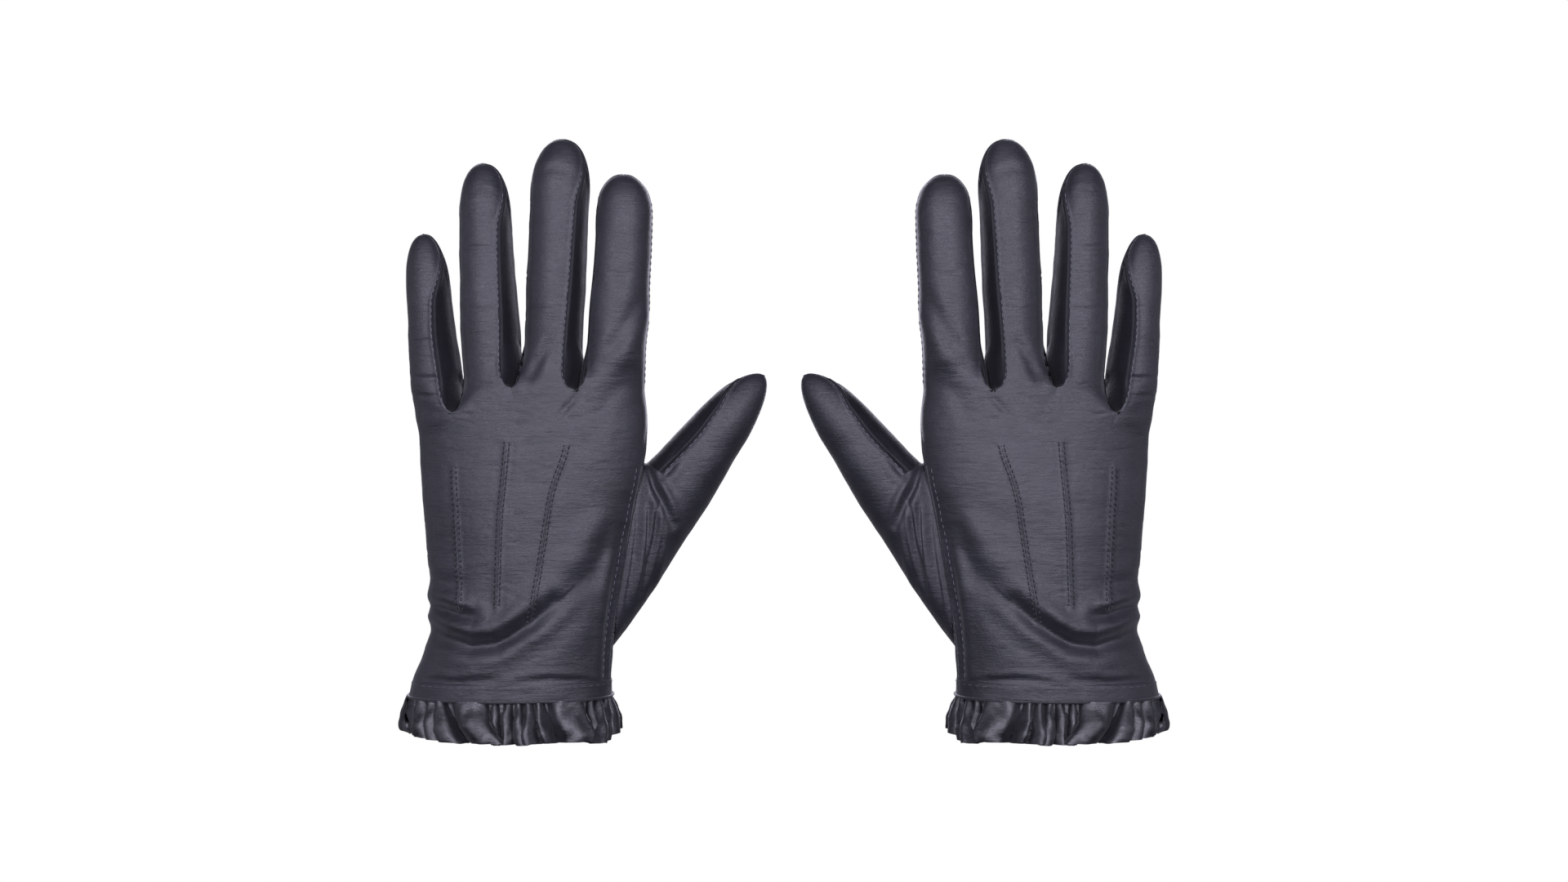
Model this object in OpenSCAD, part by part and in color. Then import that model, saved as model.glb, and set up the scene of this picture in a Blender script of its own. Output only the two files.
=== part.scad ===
// A pair of short leather dress gloves with gathered ruffles at the wrists.
// The gloves stand upright, filled out as on a hand: +Z runs to the fingertips, the backs face -Y
// and the palms face +Y. Everything is in millimetres, and the pair stands on z = 0.

/* [Pair] */
// Distance from the middle of the pair to each glove's own centre line
glove_offset = 100; // [96:1:140]

/* [Leather] */
// Thickness of the outer leather
leather = 1.0; // [0.7:0.1:1.3]
// Thickness of the knitted lining
lining_thick = 0.7; // [0.4:0.1:0.9]
// Gap between the leather and the lining
lining_gap = 0.5; // [0.4:0.1:0.8]
// Width of the open line between two sewn panels
seam_gap = 0.2; // [0.15:0.05:0.3]
// Clear gap where a digit bends
bend_gap = 0.6; // [0.4:0.1:1]

/* [Hand] */
// Height of the hem in the hand's own measure
hem_z = 19; // [17:1:22]
// Height of the ruffle's foot in the hand's own measure; it is set down on z = 0
foot_z = 4.4; // [2:0.2:6]
// Height of the thumb hole's lower end
hole_low_z = 42; // [40:1:48]
// Height of the thumb hole's upper end
hole_high_z = 103; // [100:1:106]
// Height over which the smooth hand turns into four finger roots
root_blend = 18; // [12:1:24]

/* [Ruffle] */
// Number of pleats around one wrist
pleats = 17; // [13:1:23]
// How far the foot of the ruffle stands out beyond the hem
ruffle_flare = 3.6; // [2:0.2:5]
// Half the depth of a pleat at the foot of the ruffle
pleat_depth = 1.7; // [0.8:0.1:2]

/* [Seams] */
// Height of the raised points and seams over the leather
ridge_height = 0.9; // [0.5:0.1:1.2]
// Width of a raised point or seam
ridge_width = 1.8; // [1.2:0.1:2.4]
// Distance from one stitch to the next
stitch_pitch = 6; // [4:0.5:8]

/* [Motion] */
// How far a finger flexes at the knuckle, in degrees
knuckle_flex = 75; // [60:5:80]
// How far a finger bends back at the knuckle, in degrees
knuckle_back = 10; // [5:1:15]
// How far a finger flexes at its middle joint, in degrees
middle_flex = 85; // [60:5:90]
// Where a bend's axis lies between the middle of the digit (0) and its palm side (1)
axis_depth = 0.5; // [0.4:0.05:0.6]

/* [Hidden] */
SIDES = ["left", "right"];
HAND_PARTS = ["back_panel", "palm_panel", "thumb_root", "side_seam", "points", "stitching",
              "lining", "hem_binding", "ruffle"];
DIGIT_NAMES = ["little", "ring", "middle", "index", "thumb"];
DIGIT_PARTS = ["lower_leather", "lower_gussets", "upper_leather", "upper_gussets"];
PARTS = concat(HAND_PARTS, [for (digit = DIGIT_NAMES) for (part = DIGIT_PARTS) str(digit, "_", part)]);

// The hand's oval at each height: z, little-finger edge, thumb edge, depth of the back, depth of the palm
HAND = [
    [0, -37.4, 36.6, 19, 19], [19, -37.4, 36.6, 19, 19], [30, -34.4, 36.6, 18.2, 18.4],
    [39, -30.2, 37.4, 17.6, 18], [50, -30.7, 38.6, 17.1, 18], [60, -29.9, 40.2, 16.6, 18],
    [72, -31, 42.3, 16, 18], [88, -32.4, 45, 15, 17.5], [104, -33.6, 48.3, 13.6, 16.2],
    [118, -34.2, 49.2, 12.4, 14.2], [132, -35.8, 48.6, 11.4, 12.6],
];
oval_power = 0.87;

// Lines between the finger roots, from the little-finger edge to the thumb edge
ROOT_EDGES = [-35.8, -17.4, 3.5, 26.8, 48.3];
root_side_turn = 24;

// One row for each digit:
// name, base point, lean from upright, rings square to the digit, length, half widths and half depths
// at the base, the middle joint and the top, place of the middle joint, knuckle flex, middle flex,
// gusset on the little-finger side, gusset on the thumb side
DIGITS = [
    ["little", [-26.6, 0, 123], -5.6, false, 64.8, [8.9, 7.9, 7.0], [9.0, 8.0, 7.0],
     0.46, knuckle_flex, middle_flex, false, true],
    ["ring", [-6.95, 0, 129], -2.7, false, 84.9, [10.2, 9.9, 8.4], [10.0, 9.0, 7.8],
     0.46, knuckle_flex, middle_flex, true, true],
    ["middle", [15.15, 0, 131.5], 2.0, false, 91.4, [11.3, 10.4, 9.3], [10.4, 9.3, 8.0],
     0.46, knuckle_flex, middle_flex, true, true],
    ["index", [37.65, 0, 131.5], 3.4, false, 78.5, [10.5, 10.2, 9.2], [10.2, 9.2, 8.0],
     0.46, knuckle_flex, middle_flex, true, false],
    ["thumb", [60.8, 8, 96.5], 34.4, true, 50, [13.2, 11.2, 8.4], [10.8, 9.8, 8.6],
     0.39, 45, 60, true, false],
];
tip_length = 11;
tip_ring = 0.1;

// Height levels and steps of the panels' grids
hole_rows = 5;
top_rows = 3;
LOW_LEVELS = [hem_z + 0.2, 27, 36];
LEVELS = concat(LOW_LEVELS, [for (i = [0 : hole_rows]) mix(hole_low_z, hole_high_z, i / hole_rows)]);
last_level = len(LEVELS) - 1;
hole_first = len(LOW_LEVELS);
root_steps = 5;
panel_steps = 4 * root_steps;
hole_steps = 4;
hole_start = panel_steps - hole_steps;

// The three raised points on the back: foot, middle and head of each, as [x, z]
POINTS = [
    [[-18.4, 49], [-20.2, 77], [-21.7, 104]],
    [[-5.8, 50], [-5.2, 70], [-1.6, 112]],
    [[5.6, 45], [11.6, 73], [20.9, 110]],
];

function mix(a, b, t) = a + (b - a) * t;
function ramp(t) = let (c = min(1, max(0, t))) c * c * (3 - 2 * c);
function power(v, e) = sign(v) * pow(abs(v), e);
function section(z, column) = lookup(z, [for (row = HAND) [row[0], row[column]]]);

// The hand's smooth oval. around is 0 at the thumb edge and 180 at the little-finger edge,
// face is -1 on the back and +1 on the palm, and inset moves the point into the glove.
function hand_oval(around, z, face, inset) =
    let (
        low = section(z, 1) + inset,
        high = section(z, 2) - inset,
        depth = section(z, face < 0 ? 3 : 4) - inset
    )
    [(low + high) / 2 + (high - low) / 2 * power(cos(around), oval_power),
     face * depth * pow(sin(around), oval_power), z];

// The angle on the oval of one line between two finger roots
function edge_angle(k) =
    let (top = HAND[len(HAND) - 1], middle = (top[1] + top[2]) / 2, half = (top[2] - top[1]) / 2)
    acos(min(1, max(-1, power((ROOT_EDGES[k] - middle) / half, 1 / oval_power))));

// Finger that a place across the hand belongs to: across runs from 0 at the little-finger edge to 4
function root_of(across) = min(3, floor(across));

// The hand's surface, which turns from the smooth oval into four finger roots near the top
function hand_point(across, z, face, inset) =
    let (
        k = root_of(across),
        f = across - k,
        oval = hand_oval(mix(edge_angle(k), edge_angle(k + 1), f), z, face, inset),
        low_turn = k == 0 ? 0 : root_side_turn,
        high_turn = k == 3 ? 180 : 180 - root_side_turn,
        low_x = ROOT_EDGES[k] + (k == 0 ? inset : 0),
        high_x = ROOT_EDGES[k + 1] - (k == 3 ? inset : 0),
        root = [mix(low_x, high_x, (1 - cos(180 * f)) / 2),
                face * (DIGITS[k][6][0] - inset) * sin(mix(low_turn, high_turn, f)), z],
        blend = ramp((z - DIGITS[k][1].z + root_blend) / root_blend)
    )
    mix(oval, root, blend);

// Extra length cut away at a bend, at depth y, so that the two sides clear each other
function relief(y, axis_y, flex, back) =
    bend_gap / 2 + max((y - axis_y) * tan(flex / 2), (axis_y - y) * tan(back / 2));

// Top edge of the hand below finger k
function root_top(k, across, face) =
    let (y = hand_point(across, DIGITS[k][1].z, face, 0).y, axis_y = axis_depth * DIGITS[k][6][0])
    DIGITS[k][1].z - relief(y, axis_y, DIGITS[k][8], knuckle_back);

function hand_top(across, face) =
    let (k = root_of(across), on_line = across > 0 && across < 4 && across == floor(across))
    on_line ? min(root_top(k, across, face), root_top(k - 1, across, face)) : root_top(k, across, face);

function level(i, across, face) =
    i <= last_level ? LEVELS[i] : mix(LEVELS[last_level], hand_top(across, face), (i - last_level) / top_rows);

function hand_grid(face, inset) = [
    for (i = [0 : last_level + top_rows]) [
        for (j = [0 : panel_steps])
            let (across = j / root_steps) hand_point(across, level(i, across, face), face, inset)
    ]
];

// A digit's centre line and cross direction
function digit_across(d) = d[3] ? [cos(d[2]), 0, -sin(d[2])] : [1, 0, 0];
function digit_along(d) = d[3] ? [sin(d[2]), 0, cos(d[2])] : [tan(d[2]), 0, 1];

function profile(values, d, s) = lookup(s, [[0, values[0]], [d[7], values[1]], [1, values[2]]]);
function tip(d, s) =
    let (start = 1 - tip_length / d[4], t = max(0, (s - start) / (1 - start)))
    max(tip_ring, pow(1 - pow(t, 2.2), 1 / 2.2));

// A digit's surface. turn is 0 on the thumb side, 90 on the palm side, 180 on the little-finger side
// and 270 on the back. s runs from 0 at the base to 1 at the tip.
function digit_point(d, turn, s, inset) =
    d[1]
    + digit_across(d) * (profile(d[5], d, s) - inset) * tip(d, s) * power(cos(turn), oval_power)
    + [0, (profile(d[6], d, s) - inset) * tip(d, s) * power(sin(turn), oval_power), 0]
    + digit_along(d) * s * (d[4] - inset);

// Where a segment ends at the bend at place s, measured along the digit and seen at one turn
function bend_cut(d, s, turn, flex, back) =
    let (depth = profile(d[6], d, s))
    relief(depth * power(sin(turn), oval_power), axis_depth * depth, flex, back) / d[4];

function segment_start(d, upper, turn) =
    upper ? d[7] + bend_cut(d, d[7], turn, d[9], 0) : bend_cut(d, 0, turn, d[8], knuckle_back);
function segment_end(d, upper, turn) = upper ? 1 : d[7] - bend_cut(d, d[7], turn, d[9], 0);

// Half the gusset's width as a turn around the digit: narrow at the crotch and at the tip
function gusset_half(s) = 38 - 18 * ramp(1 - s / 0.15) - 26 * ramp((s - 0.75) / 0.25);

// A sewn edge: the turn it runs at, the way its panel lies from it, and whether a gusset is between
function edge_turn(edge, s) = edge[0] + edge[1] * (edge[2] ? gusset_half(s) : 0) + edge[1] * seam_turn;
seam_turn = 0.7;

function strip_grid(d, upper, from, to, steps, rows, inset) = [
    for (i = [0 : rows]) [
        for (j = [0 : steps])
            let (
                near = upper ? mix(d[7], 1, i / rows) : mix(0, d[7], i / rows),
                turn = mix(edge_turn(from, near), edge_turn(to, near), j / steps),
                s = mix(segment_start(d, upper, turn), segment_end(d, upper, turn), row_ease(upper, i / rows))
            )
            digit_point(d, turn, s, inset)
    ]
];

// Rows crowd towards a rounded tip
function row_ease(upper, t) = upper ? sin(90 * t) : t;

// A closed solid between an outer and an inner grid of the same size. hole leaves cells out, as
// [first row, last row, first column], up to the last column. Each open edge gets a wall.
module panel(outer, inner, turned = false, closed = false, hole = []) {
    rows = len(outer);
    columns = len(outer[0]);
    count = rows * columns;
    cells = closed ? columns : columns - 1;
    function at(i, j) = i * columns + j % columns;
    function present(i, j) =
        i >= 0 && i < rows - 1 && (closed || (j >= 0 && j < cells))
        && !(len(hole) > 0 && i >= hole[0] && i < hole[1] && j >= hole[2]);
    function facing(face) = turned ? [face[2], face[1], face[0]] : face;
    function wall(p, q) = [facing([p, q, q + count]), facing([p, q + count, p + count])];
    polyhedron(
        points = concat([for (row = outer) each row], [for (row = inner) each row]),
        faces = [
            for (i = [0 : rows - 2], j = [0 : cells - 1])
                if (present(i, j))
                    let (a = at(i, j), b = at(i, j + 1), c = at(i + 1, j + 1), d = at(i + 1, j))
                    each concat(
                        [facing([a, d, c]), facing([a, c, b])],
                        [facing([c, d, a] + [1, 1, 1] * count), facing([b, c, a] + [1, 1, 1] * count)],
                        present(i - 1, j) ? [] : wall(a, b),
                        present(i + 1, j) ? [] : wall(c, d),
                        present(i, closed ? (j + cells - 1) % cells : j - 1) ? [] : wall(d, a),
                        present(i, closed ? (j + 1) % cells : j + 1) ? [] : wall(b, c)
                    )
        ],
        convexity = 8
    );
}

module back_panel() {
    color("#4a4a56") panel(hand_grid(-1, 0), hand_grid(-1, leather));
}

module palm_panel() {
    gap = seam_gap / 2;
    function clear(grid) = [for (row = grid) [for (p = row) [p.x, max(p.y, gap), p.z]]];
    color("#474653")
        panel(clear(hand_grid(1, 0)), clear(hand_grid(1, leather)), turned = true,
              hole = [hole_first, last_level, hole_start]);
}

// The edge of the thumb hole, walked from its lower corner at the seam round by the palm
function hole_edge(inset) =
    let (grid = hand_grid(1, inset), low = hole_first, high = last_level, end = panel_steps)
    concat(
        [for (j = [0 : hole_steps - 1]) grid[low][end - j]],
        [for (i = [0 : hole_rows - 1]) grid[low + i][hole_start]],
        [for (j = [0 : hole_steps - 1]) grid[high][hole_start + j]],
        [for (i = [0 : hole_rows - 1]) grid[high - i][end]]
    );

// The turn around the thumb that faces each point of the hole's edge
function hole_turns() = concat(
    [for (j = [0 : hole_steps - 1]) mix(-45, 45, j / hole_steps)],
    [for (i = [0 : hole_rows - 1]) mix(45, 135, i / hole_rows)],
    [for (j = [0 : hole_steps - 1]) mix(135, 225, j / hole_steps)],
    [for (i = [0 : hole_rows - 1]) mix(225, 315, i / hole_rows)]
);

function thumb_root_grid(inset, rows, first) =
    let (thumb = DIGITS[4], edge = hole_edge(inset), turns = hole_turns())
    [
        for (i = [0 : rows]) [
            for (j = [0 : len(turns) - 1])
                let (
                    t = mix(first, 1, i / rows),
                    cut = bend_cut(thumb, 0, turns[j], thumb[8], knuckle_back),
                    ring = digit_point(thumb, turns[j], -cut, inset),
                    swell = sin(180 * t) * root_swell
                )
                mix(edge[j], ring, t) + [swell * cos(turns[j]), swell * sin(turns[j]) / 2, 0]
        ]
    ];
root_swell = 2.2;

module thumb_root() {
    color("#454551")
        panel(thumb_root_grid(0, 4, 0.03), thumb_root_grid(leather, 4, 0.03), closed = true);
}

// A narrow raised strip on the back, from a list of [x, z]
function back_point(x, z, inset) =
    let (
        low = section(z, 1) + inset,
        high = section(z, 2) - inset,
        c = (x - (low + high) / 2) / ((high - low) / 2)
    )
    [x, -(section(z, 3) - inset) * pow(1 - pow(abs(c), 2 / oval_power), oval_power / 2), z];

function point_x(line, z) = lookup(z, [for (p = line) [p[1], p[0]]]);

function ridge_grid(line, rows, offset) = [
    for (i = [0 : rows]) [
        for (j = [-1 : 1])
            let (z = mix(line[0][1], line[2][1], i / rows), x = point_x(line, z) + j * ridge_width / 2)
            back_point(x, z, -offset * (j == 0 ? 1 : 0.45) - ridge_lift)
    ]
];
ridge_lift = 0.12;

module points() {
    color("#55555f")
        for (line = POINTS)
            panel(ridge_grid(line, 8, ridge_height), ridge_grid(line, 8, 0));
}

// The raised side seam, from the hem to the thumb's crotch
seam_turns = [15, 12, 9];
function seam_grid(rows, offset) = [
    for (i = [0 : rows]) [
        for (j = [0 : 2])
            hand_oval(seam_turns[j], mix(hem_z + 4, hole_high_z, i / rows), -1,
                      -offset * (j == 1 ? 1 : 0.45) - ridge_lift)
    ]
];

module side_seam() {
    color("#50505c") panel(seam_grid(10, ridge_height), seam_grid(10, 0));
}

// One stitch lies flat on the back, just beside a ridge
module stitch(low, high, half_width) {
    function corner(p, lift) = [p.x, p.y - lift, p.z];
    side = [half_width, 0, 0];
    function rows(lift) = [
        [corner(low - side, lift), corner(low + side, lift)],
        [corner(high - side, lift), corner(high + side, lift)],
    ];
    panel(rows(0.65), rows(0.35));
}

module stitching() {
    length = stitch_pitch * 0.55;
    beside = ridge_width / 2 + 0.5;
    color("#6d6d78") {
        for (line = POINTS, z = [line[0][1] + 1 : stitch_pitch : line[2][1] - length])
            stitch(back_point(point_x(line, z) + beside, z, 0),
                   back_point(point_x(line, z + length) + beside, z + length, 0), 0.25);
        for (z = [hem_z + 5 : stitch_pitch : hole_high_z - length])
            stitch(hand_oval(20, z, -1, 0), hand_oval(20, z + length, -1, 0), 0.25);
    }
}

// The hand once around: over the back from the thumb edge, then home across the palm
loop_steps = panel_steps;
function loop_point(j, z, inset) =
    j < loop_steps
        ? hand_point(4 - 4 * j / loop_steps, z, -1, inset)
        : hand_point(4 * j / loop_steps - 4, z, 1, inset);

lining_inset = leather + lining_gap;
lining_top_z = 109;
lining_levels = concat([hem_z + 3], [for (i = [1 : last_level]) LEVELS[i]], [lining_top_z]);
lining_hole = [hole_first, last_level, 2 * loop_steps - hole_steps];

function lining_hand_grid(inset) = [
    for (z = lining_levels) [for (j = [0 : 2 * loop_steps - 1]) loop_point(j, z, inset)]
];

// A lining tube starts above the bend at its base and has rows where the leather has them
lining_base = 0.05;
lining_rows = 6;
lining_sides = 8;
function lining_digit_grid(d, inset) = [
    for (s = concat([lining_base], [for (t = [0 : lining_rows]) mix(d[7], 1, row_ease(true, t / lining_rows))])) [
        for (j = [0 : lining_sides - 1]) digit_point(d, 180 + 360 * j / lining_sides, s, inset)
    ]
];

module lining() {
    inner = lining_inset + lining_thick;
    color("#2c2c34") {
        panel(lining_hand_grid(lining_inset), lining_hand_grid(inner), turned = true, closed = true,
              hole = lining_hole);
        panel(thumb_root_grid(lining_inset, 3, 0.15), thumb_root_grid(inner, 3, 0.15), closed = true);
        for (d = DIGITS)
            panel(lining_digit_grid(d, lining_inset), lining_digit_grid(d, inner), closed = true);
    }
}

// A ring of points around the oval, from the little-finger edge over the back
band_steps = 32;
function ring_oval(j, steps, z, inset) =
    let (around = 180 - 360 * j / steps)
    hand_oval(abs(around), z, around > 0 ? -1 : 1, inset);
function band_grid(levels, inset) = [
    for (z = levels) [for (j = [0 : band_steps - 1]) ring_oval(j, band_steps, z, inset)]
];

module hem_binding() {
    levels = [hem_z, hem_z + 1.2, hem_z + 2.6];
    color("#4d4c59") panel(band_grid(levels, -1.3), band_grid(levels, -ridge_lift), closed = true);
}

// The gathered ruffle hangs below the hem and flares into pleats at its foot
ruffle_steps = 4 * pleats;
function ruffle_point(j, t, inset) =
    let (
        around = 180 - 360 * j / ruffle_steps,
        base = ring_oval(j, ruffle_steps, hem_z, 0),
        out = [base.x / section(hem_z, 2), base.y / section(hem_z, 3)],
        drop = ramp(t),
        pleat = sin(pleats * around) * pleat_depth * drop * (1 + 0.25 * sin(5 * around)),
        offset = ruffle_flare * drop + pleat - inset
    )
    [base.x + out.x * offset, base.y + out.y * offset, mix(hem_z - 0.1, foot_z, t)];

function ruffle_grid(inset) = [
    for (t = [1, 0.5, 0]) [for (j = [0 : ruffle_steps - 1]) ruffle_point(j, t, inset)]
];

module ruffle() {
    color("#535260") panel(ruffle_grid(0), ruffle_grid(leather), closed = true);
}

module strip(d, upper, from, to, steps) {
    rows = upper ? 6 : 3;
    panel(strip_grid(d, upper, from, to, steps, rows, 0), strip_grid(d, upper, from, to, steps, rows, leather));
}

// The leather of one segment. Without a gusset the little finger and the thumb are folded on their
// outer side, and the index finger is sewn there.
module digit_leather(d, upper) {
    color("#4a4a56")
        if (d[0] == "little") strip(d, upper, [0, 1, true], [360, -1, true], 16);
        else if (d[0] == "thumb") strip(d, upper, [-180, 1, true], [180, -1, true], 16);
        else {
            strip(d, upper, [180, 1, d[10]], [360, -1, d[11]], 8);
            strip(d, upper, [0, 1, d[11]], [180, -1, d[10]], 8);
        }
}

// The narrow side strips between the fingers, and the one along the thumb
module digit_gussets(d, upper) {
    module gusset(turn) gusset_strip(d, upper, turn);
    color("#35343a") {
        if (d[10]) gusset(180);
        if (d[11]) gusset(0);
    }
}

module gusset_strip(d, upper, middle) {
    rows = upper ? 6 : 3;
    function grid(inset) = [
        for (i = [0 : rows]) [
            for (j = [-2 : 2])
                let (
                    near = upper ? mix(d[7], 1, i / rows) : mix(0, d[7], i / rows),
                    turn = middle + j / 2 * (gusset_half(near) - seam_turn),
                    s = mix(segment_start(d, upper, turn), segment_end(d, upper, turn),
                            row_ease(upper, i / rows))
                )
                digit_point(d, turn, s, inset)
        ]
    ];
    panel(grid(0), grid(leather));
}

// The left glove is set down where it stands, and the right glove is its mirror image
module glove(side) {
    place = [-glove_offset, 0, -foot_z];
    if (side == "left") translate(place) children();
    else mirror([1, 0, 0]) translate(place) children();
}

for (side = SIDES) {
    glove(side) back_panel();
    glove(side) palm_panel();
    glove(side) thumb_root();
    glove(side) side_seam();
    glove(side) points();
    glove(side) stitching();
    glove(side) lining();
    glove(side) hem_binding();
    glove(side) ruffle();
    for (d = DIGITS) {
        glove(side) digit_leather(d, false);
        glove(side) digit_gussets(d, false);
        glove(side) digit_leather(d, true);
        glove(side) digit_gussets(d, true);
    }
}
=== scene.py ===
"""A pair of short leather dress gloves with ruffled wrists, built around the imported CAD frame.

Shapes are worked out in millimetres for the left-hand glove, with x measured from that glove's own
centre line, and are mirrored for the right-hand glove. Backs face -Y, palms face +Y, fingers point up.
"""
import math

import bpy
import numpy as np
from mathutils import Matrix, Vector


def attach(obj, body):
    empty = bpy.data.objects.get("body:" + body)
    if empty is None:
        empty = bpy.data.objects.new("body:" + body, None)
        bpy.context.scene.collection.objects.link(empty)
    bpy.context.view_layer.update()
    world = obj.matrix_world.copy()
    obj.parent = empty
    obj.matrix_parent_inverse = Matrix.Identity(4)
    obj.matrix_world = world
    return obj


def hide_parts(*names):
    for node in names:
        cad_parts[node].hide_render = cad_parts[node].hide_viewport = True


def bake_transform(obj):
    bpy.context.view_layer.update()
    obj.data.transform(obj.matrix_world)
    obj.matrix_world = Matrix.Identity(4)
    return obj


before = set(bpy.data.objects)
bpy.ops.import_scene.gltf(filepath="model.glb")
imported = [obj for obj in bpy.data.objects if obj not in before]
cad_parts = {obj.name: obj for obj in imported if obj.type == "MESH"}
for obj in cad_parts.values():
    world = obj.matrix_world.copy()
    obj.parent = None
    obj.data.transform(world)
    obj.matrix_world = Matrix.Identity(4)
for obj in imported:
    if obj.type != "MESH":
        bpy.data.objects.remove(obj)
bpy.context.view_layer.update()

# ---- camera
CAMERA_DISTANCE = 0.62  # from the plane between the backs and the palms
CAMERA_HEIGHT = 0.1078
FRAME_WIDTH = 0.576  # width seen at that plane


def make_camera():
    data = bpy.data.cameras.new("camera")
    data.sensor_width = 36.0
    data.lens = data.sensor_width * CAMERA_DISTANCE / FRAME_WIDTH
    camera = bpy.data.objects.new("camera", data)
    camera.location = (0, -CAMERA_DISTANCE, CAMERA_HEIGHT)
    camera.rotation_euler = (math.radians(90), 0, 0)
    bpy.context.scene.collection.objects.link(camera)
    bpy.context.scene.camera = camera


make_camera()

# ---- sizes
OFFSET = 100.0  # from the middle of the pair to each glove's own centre line
HEM_Z = 19.0  # height of the hem
FOOT = 4.4  # height of the ruffle's foot, which stands at z = 0 in the row's frame
LEATHER = 0.9  # leather thickness
EYE_DISTANCE, EYE_Z = CAMERA_DISTANCE * 1000, CAMERA_HEIGHT * 1000 + FOOT

# The hand's oval at each height: z, little-finger edge, thumb edge, depth of the back, depth of the palm
HAND = np.array([
    (0, -37.4, 36.4, 19.0, 19.0), (19, -37.4, 36.4, 19.0, 19.0), (24, -36.4, 36.5, 18.6, 18.6),
    (30, -34.3, 36.5, 18.2, 18.4), (35, -31.4, 36.8, 17.9, 18.2), (39, -29.3, 37.3, 17.6, 18.0),
    (43, -29.6, 37.6, 17.4, 18.0), (50, -30.4, 38.5, 17.1, 18.0), (60, -29.6, 40.2, 16.6, 18.0),
    (72, -30.7, 42.3, 16.0, 18.0), (88, -32.2, 45.2, 15.0, 17.5), (104, -33.5, 48.6, 13.6, 16.2),
    (118, -33.8, 49.6, 12.4, 14.2), (132, -35.3, 49.0, 11.4, 12.6),
])
OVAL_POWER = 0.87

# The little-finger edge, the three crotches and the thumb edge: x and z on the back, x deeper in at the web
ROOT_X, ROOT_Z, WEB_X = np.array([
    (-35.3, 122.0, -35.3), (-20.1, 122.5, -17.4), (1.6, 131.3, 4.4), (24.4, 130.6, 26.8), (48.3, 131.0, 48.3),
]).T
WEB_RISE = [6.5, 11.2, 9.2]  # how far up two neighbouring gussets lie against each other
CROTCH_FRONT, CROTCH_PALM = 10.7, 10.9  # depth of a crotch on the back and on the palm
ROOT_HEIGHT = 13.0  # height over which a finger takes its own section
ROOT_DEPTH = 9.0  # half depth of a finger at its base line
ROOT_OWN = 0.35  # how far a finger's base line leaves the hand's oval for its own arc
ROUND_HEIGHT = 9.0  # height of the rounded bottom of a crotch

FINGERS = {
    # half widths and half depths as (height above the base, value), tip, sideways shift and skew of the tip,
    # half gusset and twist of its section in degrees, and turn of the thumb-side seam on the back
    "little": dict(
        widths=[(0, 9.6), (15, 9.3), (21, 8.95), (27, 8.6), (33, 8.2), (45, 7.9), (60, 7.7)],
        depths=[(0, 9.4), (30, 8.0), (65, 7.0)], top=187.9, tip=20.0, shift=0.5, skew=0.0,
        twist=20, gusset=34, seam=[(0, 72), (28, 80), (45, 70), (65, 54)]),
    "ring": dict(
        widths=[(0, 10.1), (14, 10.5), (21, 10.8), (27, 10.7), (39, 10.1), (45, 9.85), (57, 9.55), (66, 9.2),
                (85, 8.9)],
        depths=[(0, 10.2), (39, 9.0), (85, 7.8)], top=213.9, tip=17.0, shift=0.6, skew=0.0,
        twist=20, gusset=33, seam=[(0, 70), (35, 62), (65, 54)]),
    "middle": dict(
        widths=[(0, 11.0), (18.5, 10.35), (30, 10.5), (37, 10.8), (43, 10.7), (49, 10.5), (66, 10.6),
                (91, 10.4)],
        depths=[(0, 10.4), (42, 9.3), (91, 8.0)], top=222.9, tip=18.0, shift=-0.1, skew=0.0,
        twist=20, gusset=33, seam=[(0, 66), (40, 58), (70, 52)]),
    "index": dict(
        widths=[(0, 11.0), (18, 10.95), (30, 11.3), (37, 10.9), (43, 10.65), (55, 10.6), (61, 10.2),
                (79, 10.0)],
        depths=[(0, 10.2), (36, 9.2), (79, 8.0)], top=210.0, tip=16.0, shift=-0.2, skew=-1.3,
        twist=0, gusset=33, seam=[(0, 33)]),
}
FINGER_NAMES = list(FINGERS)
THUMB = dict(widths=[(0, 13.7), (5, 13.2), (14, 12.0), (22, 11.2), (30, 10.4), (51, 9.7)],
             depths=[(0, 10.8), (19, 9.8), (51, 8.6)], tip=26.0, twist=-14, gusset=32,
             seam=[(0, 62), (20, 72), (40, 60)])


def smooth(t):
    t = np.clip(t, 0, 1)
    return t * t * (3 - 2 * t)


def mix(a, b, t):
    return a + (b - a) * t


def power(v, e):
    return np.sign(v) * np.abs(v) ** e


def spread(x, y, z):
    """Points or directions as one array, from parts that may differ in shape."""
    return np.stack(np.broadcast_arrays(x, y, z), -1)


def unit(v):
    return v / np.maximum(np.linalg.norm(v, axis=-1, keepdims=True), 1e-9)


def cos_sin(degrees):
    return np.cos(np.radians(degrees)), np.sin(np.radians(degrees))


def oval_out(turn, flatness):
    """The direction outwards at a turn on an oval that is flatness times as wide as it is deep."""
    c, s = cos_sin(turn)
    return unit(spread(c / flatness, s, 0))


def softened(value, keys, values, step, weights=(0.2, 0.2, 0.2, 0.2, 0.2)):
    """The table's value, averaged over five places that lie a step apart."""
    return sum(w * np.interp(value + o * step, keys, values) for w, o in zip(weights, (-2, -1, 0, 1, 2)))


def section(z, index):
    """A column of the HAND table at z, rounded off between its rows."""
    return softened(z, HAND[:, 0], HAND[:, index], 3.5, (0.12, 0.24, 0.28, 0.24, 0.12))


def run_along(points):
    """The distance covered at each point of a line, or of every row of a grid."""
    steps = np.linalg.norm(np.diff(points, axis=-2), axis=-1)
    return np.concatenate([0 * steps[..., :1], np.cumsum(steps, -1)], -1)


def middle_and_half(z):
    """The middle and half width of the hand's oval at z."""
    low, high = section(z, 1), section(z, 2)
    return (low + high) / 2, (high - low) / 2


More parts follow.
